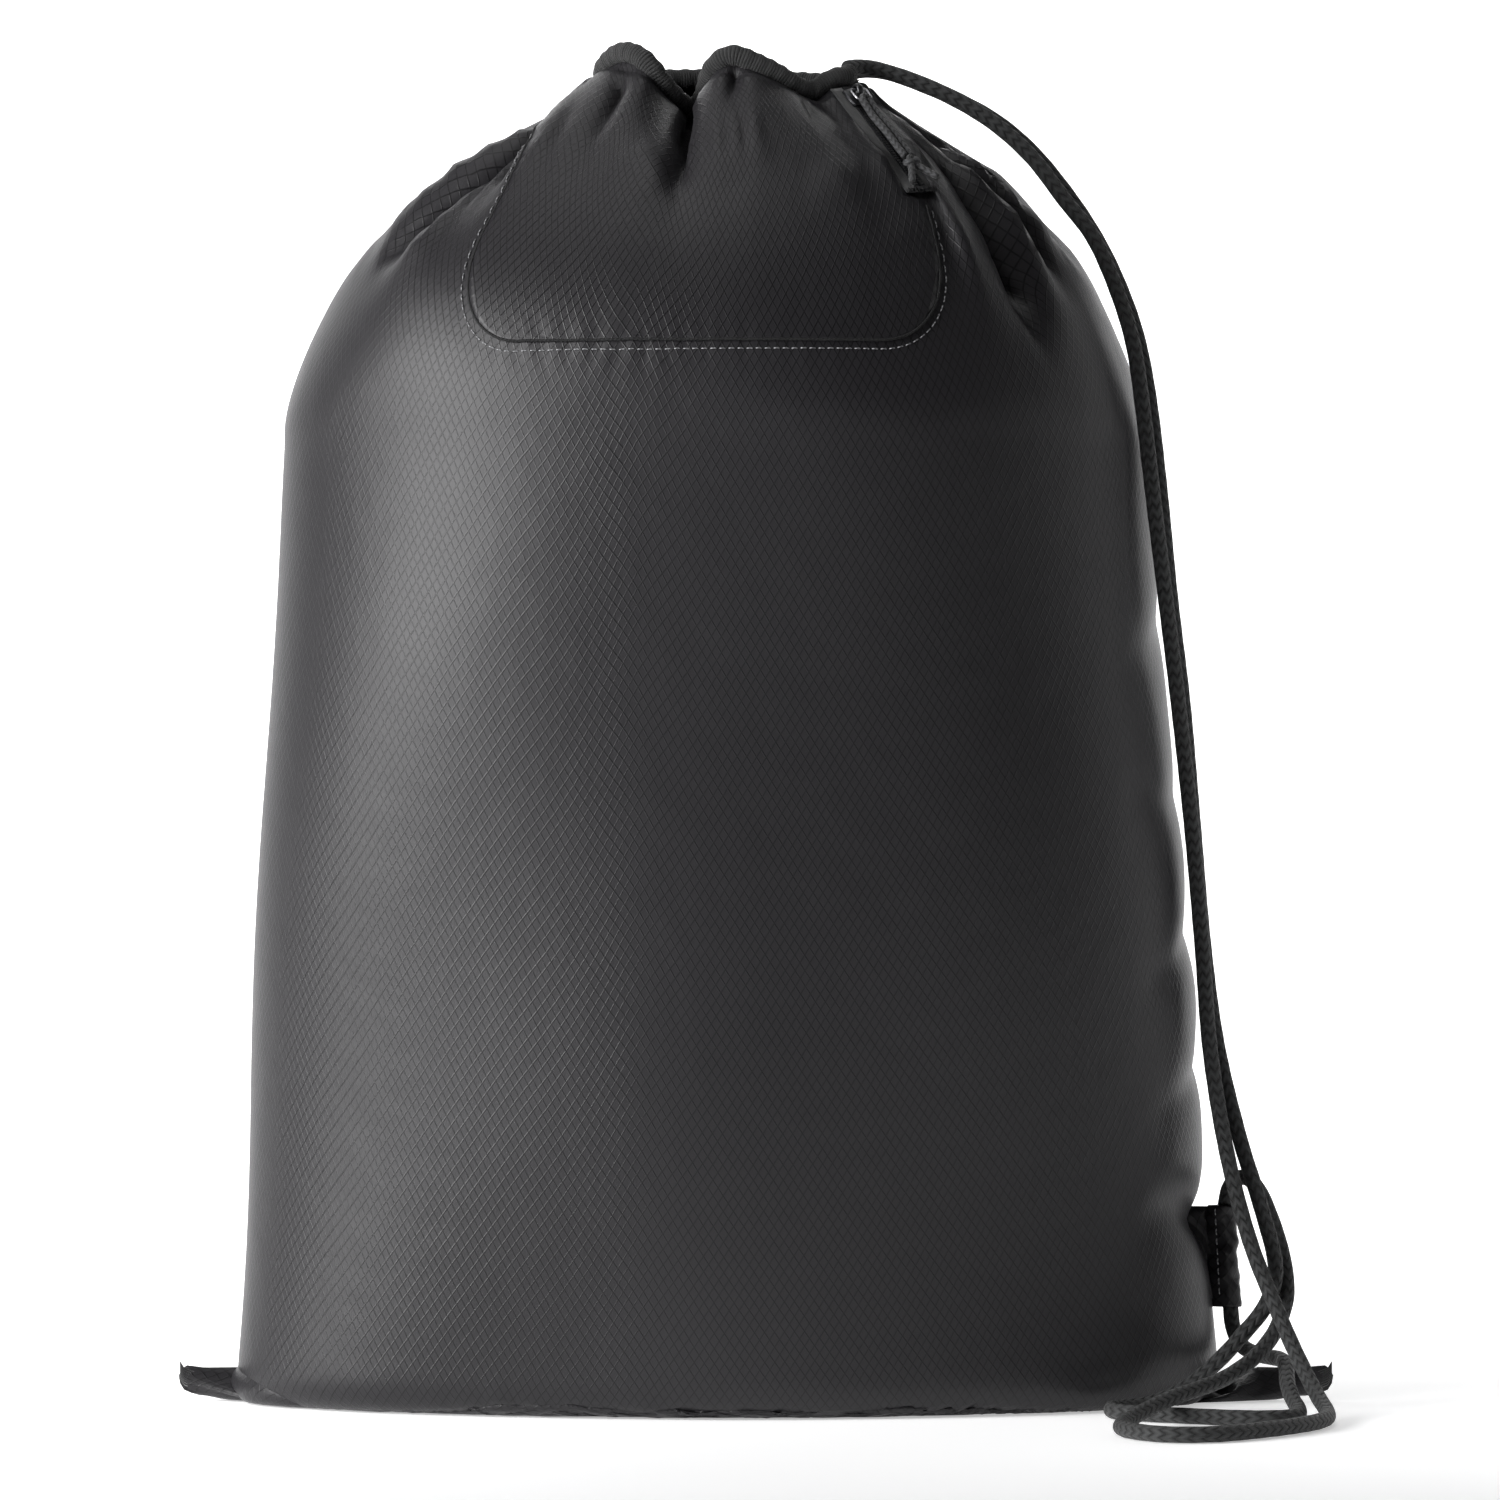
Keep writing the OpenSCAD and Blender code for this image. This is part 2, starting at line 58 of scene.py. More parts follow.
# The two free strands of the drawcord, repeated from part.scad in metres.
ROUTE_A = [
    (.035, -.0145, .511), (.040, -.008, .512), (.048, -.005, .511), (.060, -.005, .507),
    (.076, -.006, .500), (.092, -.007, .490), (.106, -.009, .477), (.118, -.012, .461),
    (.129, -.017, .446), (.1375, -.023, .426), (.1435, -.030, .405), (.147, -.035, .380),
    (.151, -.037, .345), (.156, -.035, .305), (.161, -.032, .265), (.166, -.029, .220),
    (.170, -.028, .175), (.173, -.030, .135), (.179, -.038, .096), (.187, -.047, .064),
    (.196, -.058, .040), (.203, -.070, .023), (.209, -.086, .010), (.212, -.106, .004),
    (.209, -.127, .0032), (.199, -.149, .0032), (.184, -.170, .0032), (.167, -.187, .0032),
    (.150, -.190, .0032), (.138, -.178, .0032), (.133, -.160, .0032), (.136, -.141, .004),
    (.145, -.123, .007), (.155, -.108, .010), (.165, -.094, .012), (.176, -.079, .015),
    (.187, -.065, .021), (.196, -.052, .030), (.201, -.0425, .0415), (.2012, -.0355, .052),
    (.1993, -.0285, .0625), (.1964, -.0222, .072), (.1932, -.0174, .080),
    (.1898, -.0128, .085), (.1866, -.0084, .0862), (.1836, -.0043, .0844),
    (.1814, -.0013, .0805), (.1805, 0, .075)]
ROUTE_B = [
    (.035, .0145, .511), (.040, .009, .512), (.048, .005, .5115), (.060, .004, .508),
    (.076, .003, .501), (.092, .001, .492), (.106, -.001, .480), (.119, -.004, .464),
    (.130, -.008, .447), (.1385, -.014, .429), (.1455, -.021, .408), (.150, -.027, .383),
    (.154, -.029, .348), (.158, -.027, .308), (.163, -.024, .267), (.167, -.021, .222),
    (.171, -.020, .176), (.176, -.022, .138), (.184, -.029, .103), (.192, -.036, .076),
    (.197, -.042, .054), (.193, -.047, .040), (.184, -.051, .029), (.173, -.056, .018),
    (.161, -.060, .009), (.148, -.065, .004), (.138, -.071, .0032), (.133, -.080, .0032),
    (.135, -.092, .0032), (.145, -.101, .0032), (.160, -.110, .0032), (.178, -.119, .0032),
    (.191, -.120, .0032), (.199, -.112, .0032), (.202, -.099, .004), (.2005, -.085, .0075),
    (.1995, -.072, .012), (.200, -.058, .017), (.199, -.045, .019), (.1955, -.032, .019),
    (.1905, -.020, .0195), (.186, -.0095, .022), (.1833, -.003, .028), (.1825, 0, .036)]


def spline(points, per):
    """A Catmull-Rom line through points, with `per` samples for each stretch."""
    p = np.array(points, float)
    out = []
    for i in range(len(p) - 1):
        a, b, c, d = p[max(i - 1, 0)], p[i], p[i + 1], p[min(i + 2, len(p) - 1)]
        for k in range(per):
            t = k / per
            out.append(0.5 * (2 * b + (c - a) * t + (2 * a - 5 * b + 4 * c - d) * t * t
                              + (3 * b - a - 3 * c + d) * t ** 3))
    return np.array([*out, p[-1]])


def run_along(line):
    """How far along a line each of its points is."""
    return np.concatenate([[0], np.cumsum(np.linalg.norm(np.diff(line, axis=0), axis=1))])


def points_at(s, at, line):
    """Points at distances s along a line whose own points lie at distances `at`."""
    return np.stack([np.interp(s, at, line[:, k]) for k in range(3)], 1)


def evenly(line, step):
    """The same line with points at an even distance."""
    at = run_along(line)
    return points_at(np.linspace(0, at[-1], max(2, int(round(at[-1] / step)) + 1)), at, line)


def length(line):
    """A line's whole length."""
    return float(np.linalg.norm(np.diff(line, axis=0), axis=1).sum())


def frames(line, closed):
    """Heading and two side directions along a line, without twist."""
    if closed:
        head = np.roll(line, -1, 0) - np.roll(line, 1, 0)
    else:
        head = np.gradient(line, axis=0)
    head /= np.linalg.norm(head, axis=1)[:, None]
    side = np.zeros_like(line)
    # Any start that isn't along the line will do.
    s = np.array((0.3, 0.2, 0.93))
    for i, h in enumerate(head):
        s = s - h * s.dot(h)
        s /= np.linalg.norm(s)
        side[i] = s
    return head, side, np.cross(head, side)


def unit(v):
    """A vector's direction."""
    v = np.array(v, float)
    return v / np.linalg.norm(v)


def ease(t):
    """A soft step from 0 to 1."""
    return t * t * (3 - 2 * t)


def grow(x, start, over):
    """0 up to the start, then a straight rise to 1 over a distance."""
    return np.clip((x - start) / over, 0, 1)


def fade(x, end, over):
    """A straight fall from 1 over a distance, to 0 at the end."""
    return np.clip((end - x) / over, 0, 1)


def new_mesh(name, points, faces, smooth=True, uv=None, mat=None):
    """An object from points and faces; uv gives one place on the cloth for each point."""
    mesh = bpy.data.meshes.new(name)
    mesh.from_pydata([tuple(p) for p in np.asarray(points, float)], [], [tuple(f) for f in faces])
    mesh.update()
    if smooth:
        mesh.polygons.foreach_set("use_smooth", [True] * len(mesh.polygons))
    if uv is not None:
        layer = mesh.uv_layers.new(name="cloth")
        loops = np.zeros(len(mesh.loops), np.int32)
        mesh.loops.foreach_get("vertex_index", loops)
        layer.data.foreach_set("uv", np.asarray(uv, np.float32)[loops].ravel())
    obj = bpy.data.objects.new(name, mesh)
    scene.collection.objects.link(obj)
    if mat is not None:
        mesh.materials.append(mat)
    return obj


def tube(name, line, r, sides=16, mat=None, closed=False, wide=None, up=None):
    """A capped tube along a line. r may be a list, and `wide` gives an oval's other radius."""
    line = np.asarray(line, float)
    n = len(line)
    head, s, t = frames(line, closed)
    if up is not None:
        t = np.array([unit(np.array(up) - h * np.dot(up, h)) for h in head])
        s = np.cross(t, head)
    r = np.broadcast_to(np.asarray(r, float), (n,))
    w = r if wide is None else np.broadcast_to(np.asarray(wide, float), (n,))
    a = np.arange(sides) * 2 * math.pi / sides
    ring = (line[:, None] + s[:, None] * (np.cos(a)[None, :, None] * r[:, None, None])
            + t[:, None] * (np.sin(a)[None, :, None] * w[:, None, None]))
    run = run_along(np.vstack([line, line[:1]]))
    faces, uv = [], []
    for i in range(n if closed else n - 1):
        low, high = i * sides, (i + 1) % n * sides
        for k in range(sides):
            j = (k + 1) % sides
            faces.append((low + k, low + j, high + j, high + k))
            # The pattern runs once round: the last strip ends at 1, not back at 0.
            for u, v in ((k, i), (k + 1, i), (k + 1, i + 1), (k, i + 1)):
                uv += [u / sides, run[v]]
    if not closed:
        faces += [tuple(range(sides - 1, -1, -1)), tuple((n - 1) * sides + k for k in range(sides))]
        uv += [0.5, 0.0] * (2 * sides)
    obj = new_mesh(name, ring.reshape(-1, 3), faces, mat=mat)
    obj.data.uv_layers.new(name="cloth").data.foreach_set("uv", uv)
    return obj


def join(name, objs, mat=None):
    """One object from several meshes."""
    points, faces, uv, base = [], [], [], 0
    for o in objs:
        m = o.data
        co = np.zeros(len(m.vertices) * 3, np.float32)
        m.vertices.foreach_get("co", co)
        points.append(co.reshape(-1, 3).astype(float))
        faces += [tuple(base + v for v in p.vertices) for p in m.polygons]
        base += len(m.vertices)
        uv.append(np.zeros(len(m.loops) * 2, np.float32))
        if m.uv_layers:
            m.uv_layers[0].data.foreach_get("uv", uv[-1])
        bpy.data.objects.remove(o)
    obj = new_mesh(name, np.concatenate(points), faces, mat=mat)
    obj.data.uv_layers.new(name="cloth").data.foreach_set("uv", np.concatenate(uv))
    return obj


def place(obj, body, node=None):
    """Put a piece on the body it rides on, and hide the CAD node that it stands for."""
    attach(obj, body)
    if node:
        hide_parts(node)


# ---------------------------------------------------------------- shape of the filled bag

COLS = 76                  # cells across one panel of the coarse cloth
ROWS = 107                 # rows of points from the bottom seam to the mouth
FLAT_W, FLAT_L = 0.46, 0.64                # one panel's flat size
SHOULDER_Z, DOME_H = 0.368, 0.144          # where the dome starts, and how high it is
EAR_X = 0.222                              # half the reach between the ears' tips
BASE_R = 0.012                             # rounding at the foot of the sides
PLEAT = 0.0385                             # width of one pleat along the mouth


def lean(z):
    """X of the bag's middle line: it leans a little to the left."""
    return np.interp(z, [0, .3, .42, .48, .52], [-.010, -.014, -.015, -.011, -.011])


def edge_loss(z):
    """How far the rounded foot draws the sides in at height z."""
    h = np.clip(BASE_R - z, 0, BASE_R)
    return BASE_R - np.sqrt(BASE_R ** 2 - h ** 2)


def half_sizes(z):
    """Half width and half depth of the filled bag at height z."""
    z = np.asarray(z, float)
    low = np.clip(z, 0, SHOULDER_Z)
    dome = np.sqrt(np.clip(1 - (np.maximum(z - SHOULDER_Z, 0) / DOME_H) ** 2, 0, 1))
    w = (0.380 - 0.050 * low / SHOULDER_Z) / 2 - edge_loss(z)
    d = (0.190 + 0.042 * np.sin(math.pi / 2 * low / SHOULDER_Z)) / 2 - edge_loss(z)
    return w * dome, d * dome


# The mouth: how far round the cloth from the left seam, and where its edge is held there.
# The front middle is hardly gathered and hangs in two folds. The rest is gathered tightly.
MOUTH = [
    (.000, -.050, .020, .507), (.070, -.0575, .009, .508), (.125, -.059, -.002, .5095),
    (.140, -.0545, -.012, .514), (.152, -.049, -.020, .515), (.164, -.042, -.027, .511),
    (.176, -.036, -.0265, .503), (.188, -.029, -.0205, .4955), (.197, -.024, -.014, .493),
    (.206, -.020, -.018, .4975), (.216, -.0183, -.027, .505), (.226, -.015, -.033, .5096),
    (.239, -.0096, -.036, .5128), (.256, -.003, -.036, .5105), (.274, .007, -.034, .506),
    (.292, .015, -.031, .501), (.303, .021, -.0265, .4985), (.315, .0265, -.0245, .503),
    (.330, .0325, -.0205, .5055), (.366, .037, -.014, .505), (.460, .043, 0, .503),
    (.520, .037, .014, .505), (.690, -.005, .036, .509), (.860, -.045, .026, .508),
    (.920, -.050, .020, .507)]


def mouth_line(u, pleats=1):
    """Where the mouth's edge is held, for places u round the cloth."""
    m = np.array(MOUTH)
    dense = spline(m[:, 1:], 12)
    at = np.interp(np.arange(len(dense)), np.arange(len(m)) * 12, m[:, 0])
    p = points_at(u, at, dense)
    # Pleats where the edge is gathered tightly: along the rear, and left of the pocket.
    tight = grow(u, .348, .03) * fade(u, 2 * FLAT_W, .02) + grow(u, 0, .02) * fade(u, .115, .02)
    beside_seam = grow(np.abs(u - FLAT_W), 0, .03)
    wave = np.sin(u * 2 * math.pi / PLEAT + 0.6 * np.sin(u * 23))
    out = p - np.array([-.010, 0, 0])
    out[:, 2] = 0
    out /= np.linalg.norm(out, axis=1)[:, None]
    p = p + out * (pleats * wave * tight * beside_seam * .0038)[:, None]
    p[:, 2] += pleats * .0012 * np.cos(u * 2 * math.pi / PLEAT) * tight
    return p


# The zip lies straight on the front, beside the mouth.
ZIP_TOP = np.array([.034, -.025, .501])
ZIP_FOOT = np.array([.064, -.070, .456])
ZIP_ALONG = unit(ZIP_FOOT - ZIP_TOP)
ZIP_OUT = np.array([.27, -.61, .75])
ZIP_OUT = unit(ZIP_OUT - ZIP_OUT.dot(ZIP_ALONG) * ZIP_ALONG)
ZIP_ACROSS = np.cross(ZIP_ALONG, ZIP_OUT)
ZIP_U, ZIP_LEN = 0.330, 0.066      # its middle, round the cloth, and its length
EAR_LEN = 0.034                    # how far the side seams lie along the ears

# Folds that the gathering and the sewing start: along the cloth from (u, v) to (u, v), how far in
# at the second end, and how wide. A fold with a negative depth is a ridge.
FOLDS = [
    # Left shoulder.
    (.046, .512, .088, .608, .027, .0085), (.018, .532, .060, .620, .022, .0085),
    (.034, .530, .068, .592, -.009, .0070), (.080, .538, .112, .618, .018, .0075),
    (.002, .520, .022, .620, .014, .0090), (.060, .505, .084, .565, -.006, .0080),
    # Pocket: a deep V under the mouth's dip, with a sagging fold to its right.
    (.121, .545, .119, .628, -.011, .0085), (.142, .552, .152, .622, .011, .0080),
    (.1967, .564, .203, .636, .022, .0130), (.174, .604, .190, .574, -.008, .0070),
    (.200, .568, .239, .578, .009, .0070), (.239, .578, .275, .594, .009, .0070),
    (.213, .590, .255, .606, -.007, .0080), (.232, .600, .244, .634, .008, .0060),
    (.284, .556, .300, .590, -.006, .0070), (.310, .556, .292, .622, .011, .0080),
    # Right shoulder.
    (.352, .594, .3735, .544, .028, .0105), (.342, .528, .352, .592, -.010, .0060),
    (.414, .538, .380, .618, .022, .0080), (.397, .530, .382, .578, -.009, .0075),
    (.442, .542, .404, .622, .024, .0085), (.428, .535, .402, .592, -.010, .0070),
    (.468, .540, .436, .622, .014, .0080),
    # Rear.
    (.492, .525, .510, .622, .015, .0085), (.540, .545, .548, .624, .012, .0080),
    (.585, .515, .590, .622, .017, .0090), (.632, .545, .630, .624, .012, .0080),
    (.676, .525, .672, .622, .016, .0085), (.722, .545, .712, .624, .012, .0080),
    (.768, .515, .755, .622, .017, .0090), (.812, .540, .800, .624, .013, .0080),
    (.860, .525, .845, .622, .015, .0085), (.902, .545, .895, .624, .012, .0080),
    # Puckers beside the right seam, and creases in the lower corners.
    (.398, .192, .4600, .174, .0075, .0085), (.520, .196, .4600, .174, .0060, .0085),
    (.404, .222, .4600, .236, .0026, .0080), (.515, .250, .4600, .236, .0026, .0080),
    (.400, .270, .4600, .290, .0030, .0090), (.395, .345, .4600, .338, .0020, .0080),
    (.398, .392, .4600, .405, .0026, .0100), (.520, .300, .4600, .290, .0030, .0090),
    (.375, .128, .4400, .112, .0050, .0060), (.020, .060, .1000, .036, .0050, .0060),
    (.100, .082, .0350, .078, .0050, .0065)]


def fold_field(u, v):
    """How far in the folds go at places (u, v) of the cloth."""
    depth = np.zeros(u.shape)
    for u0, v0, u1, v1, deep, wide in FOLDS:
        t = np.clip(((u - u0) * (u1 - u0) + (v - v0) * (v1 - v0))
                    / ((u1 - u0) ** 2 + (v1 - v0) ** 2), 0, 1)
        off = np.hypot(u - u0 - t * (u1 - u0), v - v0 - t * (v1 - v0))
        depth += deep * np.sin(np.clip(t * 1.25, 0, 1) * math.pi / 2) * np.exp(-(off / wide) ** 1.4)
    return depth


class Cloth:
    """The bag's cloth as a tube of points: rows from the bottom seam to the mouth, and columns
    from the left seam along the front to the right seam and back along the rear."""

    def __init__(self, cols, rows):
        self.cols, self.rows, self.n = cols, rows, 2 * cols
        self.u = np.arange(self.n) * FLAT_W / cols
        self.v = np.linspace(0, FLAT_L, rows)
        self.du, self.dv = FLAT_W / cols, FLAT_L / (rows - 1)
        self.mouth = mouth_line(self.u)
        self.make_pins()

    def seam_line(self):
        """The bottom seam along the floor and up the blunt tips of the two ears."""
        path = np.array([(EAR_X - .0040, .0138), (EAR_X - .0008, .0122), (EAR_X, .0085),
                         (EAR_X - .0022, .0042), (EAR_X - .0085, .0020), (.185, .0008), (0, .0006)])
        at = np.concatenate([[0], np.cumsum(np.hypot(*np.diff(path, axis=0).T))])
        across = np.where(self.u <= FLAT_W, self.u, 2 * FLAT_W - self.u)
        s = np.minimum(across, FLAT_W - across) / (FLAT_W / 2) * at[-1]
        x = np.interp(s, at, path[:, 0]) * np.where(across < FLAT_W / 2, -1, 1)
        tip = grow(np.abs(x), .190, .03)
        return np.stack([x, -.004 * tip, np.interp(s, at, path[:, 1])], 1)

    def start(self):
        """Every column follows the filled shape, with its points spread evenly along it."""
        low_z = [0, .002, .005, .009, .014, .020, .028]
        z = np.concatenate([low_z, np.linspace(.04, SHOULDER_Z, 24)[:-1],
                            SHOULDER_Z + DOME_H * np.sin(np.linspace(0, 1.0, 24))])
        w, d = half_sizes(z)
        seam = self.seam_line()
        p = np.zeros((self.rows, self.n, 3))
        a = np.linspace(0, 2 * math.pi, 1441)
        angle = np.zeros((len(z), self.n))
        for k in range(len(z)):
            arc = np.concatenate([[0], np.cumsum(np.hypot(np.diff(w[k] * np.cos(a)),
                                                          np.diff(d[k] * np.sin(a))))])
            angle[k] = np.interp(self.u / (2 * FLAT_W) * arc[-1], arc, a)
        for i in range(self.n):
            # Beside the side seams the cloth comes down onto the ears.
            near = self.near_seam[i]
            front = self.u[i] < FLAT_W
            rim = np.interp(near, [0, .010, .022, .034], [.0130, .0085, .003, 0])
            level = z + rim * np.clip(1 - z / .045, 0, 1) ** 1.5
            body = np.stack([lean(z) - w * np.cos(angle[:, i]), -d * np.sin(angle[:, i]), level], 1)
            shares = np.linspace(0, 1, 7)[:-1]
            height = rim * (1 - .6 * shares * min(1, near / .006) if front else 1.0)
            floor = [seam[i] * (1 - t) + body[0] * t for t in shares]
            for q, t, h in zip(floor, shares, np.broadcast_to(height, 6)):
                q[2] = max(q[2] * (1 - t), h)
            line = np.concatenate([floor, body, [self.mouth[i]]])
            at = run_along(line)
            p[:, i] = points_at(self.v / FLAT_L * at[-1], at, line)
        # Near the mouth the columns are drawn a little towards its edge.
        t = ease(grow(self.v - FLAT_L, -.12, .12))[:, None, None]
        reach = (1 - (FLAT_L - self.v) / FLAT_L)[:, None, None]
        self.p = p * (1 - t * .25) + (p[-1][None] * reach + p * (1 - reach)) * t * .25
        self.p[-1] = self.mouth
        ear = (self.v[:, None] < EAR_LEN) & (self.near_seam[None] < .010)
        self.place[ear] = self.p[ear]
        self.fixed |= ear

    def make_pins(self):
        """The cloth's folds, and which of its points are held, and where."""
        v, u = np.meshgrid(self.v, self.u, indexing="ij")
        self.near_seam = np.minimum(np.abs(self.u - FLAT_W), np.minimum(self.u, 2 * FLAT_W - self.u))
        self.folds = fold_field(u, v)
        self.fixed = np.zeros((self.rows, self.n), bool)
        self.place = np.zeros((self.rows, self.n, 3))
        self.fixed[0] = self.fixed[-1] = True
        self.place[0], self.place[-1] = self.seam_line(), self.mouth
        # The cloth under the zip is held flat.
        s, t = FLAT_L - .0045 - v, ZIP_U - u
        near = (s > 0) & (s < ZIP_LEN + .004) & (np.abs(t) < .0085)
        flat = (ZIP_TOP + s[..., None] * ZIP_ALONG + t[..., None] * ZIP_ACROSS - .0009 * ZIP_OUT)
        self.fixed |= near
        self.place[near] = flat[near]

    def rests(self, full=.06, full_middle=.035, slack=-.001, right_slack=.010):
        """Rest lengths: those of the shape with its folds, with a little more cloth round the dome
        and beside the right seam, which is sewn a little short."""
        p = self.p
        own_u = np.linalg.norm(np.roll(p, -1, 1) - p, axis=-1)
        own_v = np.linalg.norm(p[1:] - p[:-1], axis=-1)
        up = np.linalg.norm(np.roll(p[1:], -1, 1) - p[:-1], axis=-1)
        down = np.linalg.norm(np.roll(p[1:], 1, 1) - p[:-1], axis=-1)
        mid = grow(self.u, .130, .03) * fade(self.u, ZIP_U - .02, .03)
        share = full + (full_middle - full) * mid
        t = ease(grow(self.v - FLAT_L, -.250, .150)) * fade(self.v, FLAT_L, .020)
        ru = own_u * (1 + slack + share[None] * t[:, None])
        near_right = np.exp(-((self.u - FLAT_W) / .05) ** 2)
        z = p[:-1, :, 2]
        low = grow(z, .03, .03) * fade(z, .36, .06)
        rv = own_v * (1 + slack + .012 * t[1:, None] + (right_slack - slack) * near_right[None] * low)
        rv[:, 0] = own_v[:, 0]
        rv[:, self.cols] = own_v[:, self.cols] * .985
        # The diagonals grow with the sides.
        grown = (((ru[1:] + ru[:-1]) / 2) ** 2 - ((own_u[1:] + own_u[:-1]) / 2) ** 2
                 + rv ** 2 - own_v ** 2)
        self.ru, self.rv = ru, rv
        self.r_up, self.r_down = np.sqrt(up ** 2 + grown), np.sqrt(down ** 2 + grown)

    @staticmethod
    def pull(a, b, rest, k):
        """Move points a and b, in place, towards their rest distance."""
        d = b - a
        n = np.sqrt((d * d).sum(-1))
        c = d * (k * 0.5 * (n - rest) / np.maximum(n, 1e-9))[..., None]
        a += c
        b -= c

    def pairs(self, first):
        """Every second row from the first one, and the rows above them."""
        low, high = self.p[first:-1:2], self.p[first + 1::2]
        m = min(len(low), len(high))
        return low[:m], high[:m]

    def stretch(self, k_shear):
        """Bring the sides of the cells to their rest lengths, and the diagonals part of the way."""
        p, ru = self.p, self.ru
        self.pull(p[:, 0::2], p[:, 1::2], ru[:, 0::2], 1.0)
        b = np.roll(p, -1, 1)[:, 1::2].copy()
        self.pull(p[:, 1::2], b, ru[:, 1::2], 1.0)
        p[:, 0::2] = np.roll(b, 1, 1)
        for s in (0, 1):
            low, high = self.pairs(s)
            self.pull(low, high, self.rv[s::2][:len(low)], 1.0)
        for s in (0, 1):
            low, high = self.pairs(s)
            for turn, rest in ((-1, self.r_up), (1, self.r_down)):
                up = np.roll(high, turn, 1)
                self.pull(low, up, rest[s::2][:len(low)], k_shear)
                high[:] = np.roll(up, -turn, 1)

    def bend(self, k):
        """Take sharp wrinkles out of the cloth."""
        p = self.p
        d = np.roll(p, -1, 1) + np.roll(p, 1, 1) - 2 * p
        p -= k * (np.roll(d, -1, 1) + np.roll(d, 1, 1) - 2 * d)
        d = p[2:] + p[:-2] - 2 * p[1:-1]
        p[2:-2] -= k * (d[2:] + d[:-2] - 2 * d[1:-1])

    def normals(self):
        """The cloth's outward direction at each point."""
        p = self.p
        du = np.roll(p, -1, 1) - np.roll(p, 1, 1)
        dv = np.zeros_like(p)
        dv[1:-1] = p[2:] - p[:-2]
        dv[0], dv[-1] = p[1] - p[0], p[-1] - p[-2]
        n = np.cross(du, dv)
        return n / np.maximum(np.linalg.norm(n, axis=-1), 1e-9)[..., None]

    def at(self, u, v):
        """Points and normals of the cloth at places (u, v)."""
        if not hasattr(self, "n_now"):
            self.n_now = self.normals()
        i, j = np.asarray(u) / self.du, np.clip(np.asarray(v) / self.dv, 0, self.rows - 1.0001)
        i0, j0 = np.floor(i).astype(int), np.floor(j).astype(int)
        a, b = (i - i0)[..., None], (j - j0)[..., None]
        i0, i1, j1 = i0 % self.n, (i0 + 1) % self.n, j0 + 1
        q = [(1 - a) * (1 - b) * g[j0, i0] + a * (1 - b) * g[j0, i1]
             + (1 - a) * b * g[j1, i0] + a * b * g[j1, i1] for g in (self.p, self.n_now)]
        return q[0], q[1] / np.linalg.norm(q[1], axis=-1)[..., None]

    def contents(self, hold):
        """Clothes inside push the cloth out, and the cloth's tension keeps it near them."""
        p = self.p
        x, y, z = p[..., 0], p[..., 1], p[..., 2]
        cx = lean(z)
        lump = (.0014 * np.sin(21 * x + 13 * z + 1.3) + .0012 * np.sin(-17 * x + 27 * z + 19 * y)
                + .0009 * np.sin(41 * x + 9 * z + 2.0))
        w, d = half_sizes(np.clip(z, 0.0, SHOULDER_Z))
        # Less is packed behind the right seam and in the lower corners.
        seam = np.exp(-((self.u - FLAT_W) / .055) ** 2)[None]
        loose = .005 * seam * grow(z, .03, .03) * fade(z, .34, .08)
        loose = loose + .006 * np.exp(-(z / .03) ** 2) * grow(np.abs(x - cx), .08, .06)
        w, d = w + lump - .0009, d + lump - .0009
        easy = grow(z, SHOULDER_Z, .04)
        neck = .020 * grow(z - SHOULDER_Z, .105, .03)
        # The clothes leave room for the folds.
        room = loose + .0035 * easy + neck + np.maximum(self.folds, 0)
        self.towards((w - room, d - room, DOME_H - room), cx, inside=True, share=1.0)
        # Outside, the cloth is drawn back to a shell round the contents.
        ear = (z < .030) & (self.v[:, None] < .07) & (self.near_seam[None] < .06)
        room = .0015 + .002 * easy - .9 * self.folds
        self.towards((w + room, d + room, DOME_H + room), cx, inside=False,
                     share=np.where(ear, 0, hold))
        p[..., 2] = np.maximum(p[..., 2], .0005)

    def towards(self, sizes, cx, inside, share):
        """Move points on the wrong side of a domed shell straight towards its surface."""
        p, (w, d, h) = self.p, sizes
        x, y, up = p[..., 0] - cx, p[..., 1], np.maximum(p[..., 2] - SHOULDER_Z, 0)
        rho = np.sqrt((x / w) ** 2 + (y / d) ** 2 + (up / h) ** 2)
        g = np.stack([x / w ** 2, y / d ** 2, up / h ** 2], -1)
        size = np.maximum(np.linalg.norm(g, axis=-1), 1e-6)
        off = (rho - 1) * rho / size
        off = np.minimum(off, 0) if inside else np.maximum(off, 0)
        p -= (np.clip(off * share, -.004, .004) / size)[..., None] * g

    def settle(self, steps, k_bend, inner=3, puff=.00012, k_shear=.3, hold=.25, damp=.90):
        """Let the cloth come to rest on its contents, under a little pressure and its weight."""
        last = self.p.copy()
        f = self.fixed
        for _ in range(steps):
            v = np.clip((self.p - last) * damp, -.002, .002)
            last = self.p.copy()
            # The dome is slack, and so is the cloth beside the right seam.
            firm = 1 - .7 * grow(self.p[..., 2], .350, .04)
            firm = firm * (1 - .8 * np.exp(-((self.u - FLAT_W) / .05) ** 2))[None]
            self.p += v + self.normals() * (puff * firm)[..., None]
            self.p[..., 2] -= 2e-5
            for _ in range(inner):
                self.stretch(k_shear)
                self.p[f] = self.place[f]
            self.bend(k_bend)
            self.contents(hold)
            self.p[f] = self.place[f]

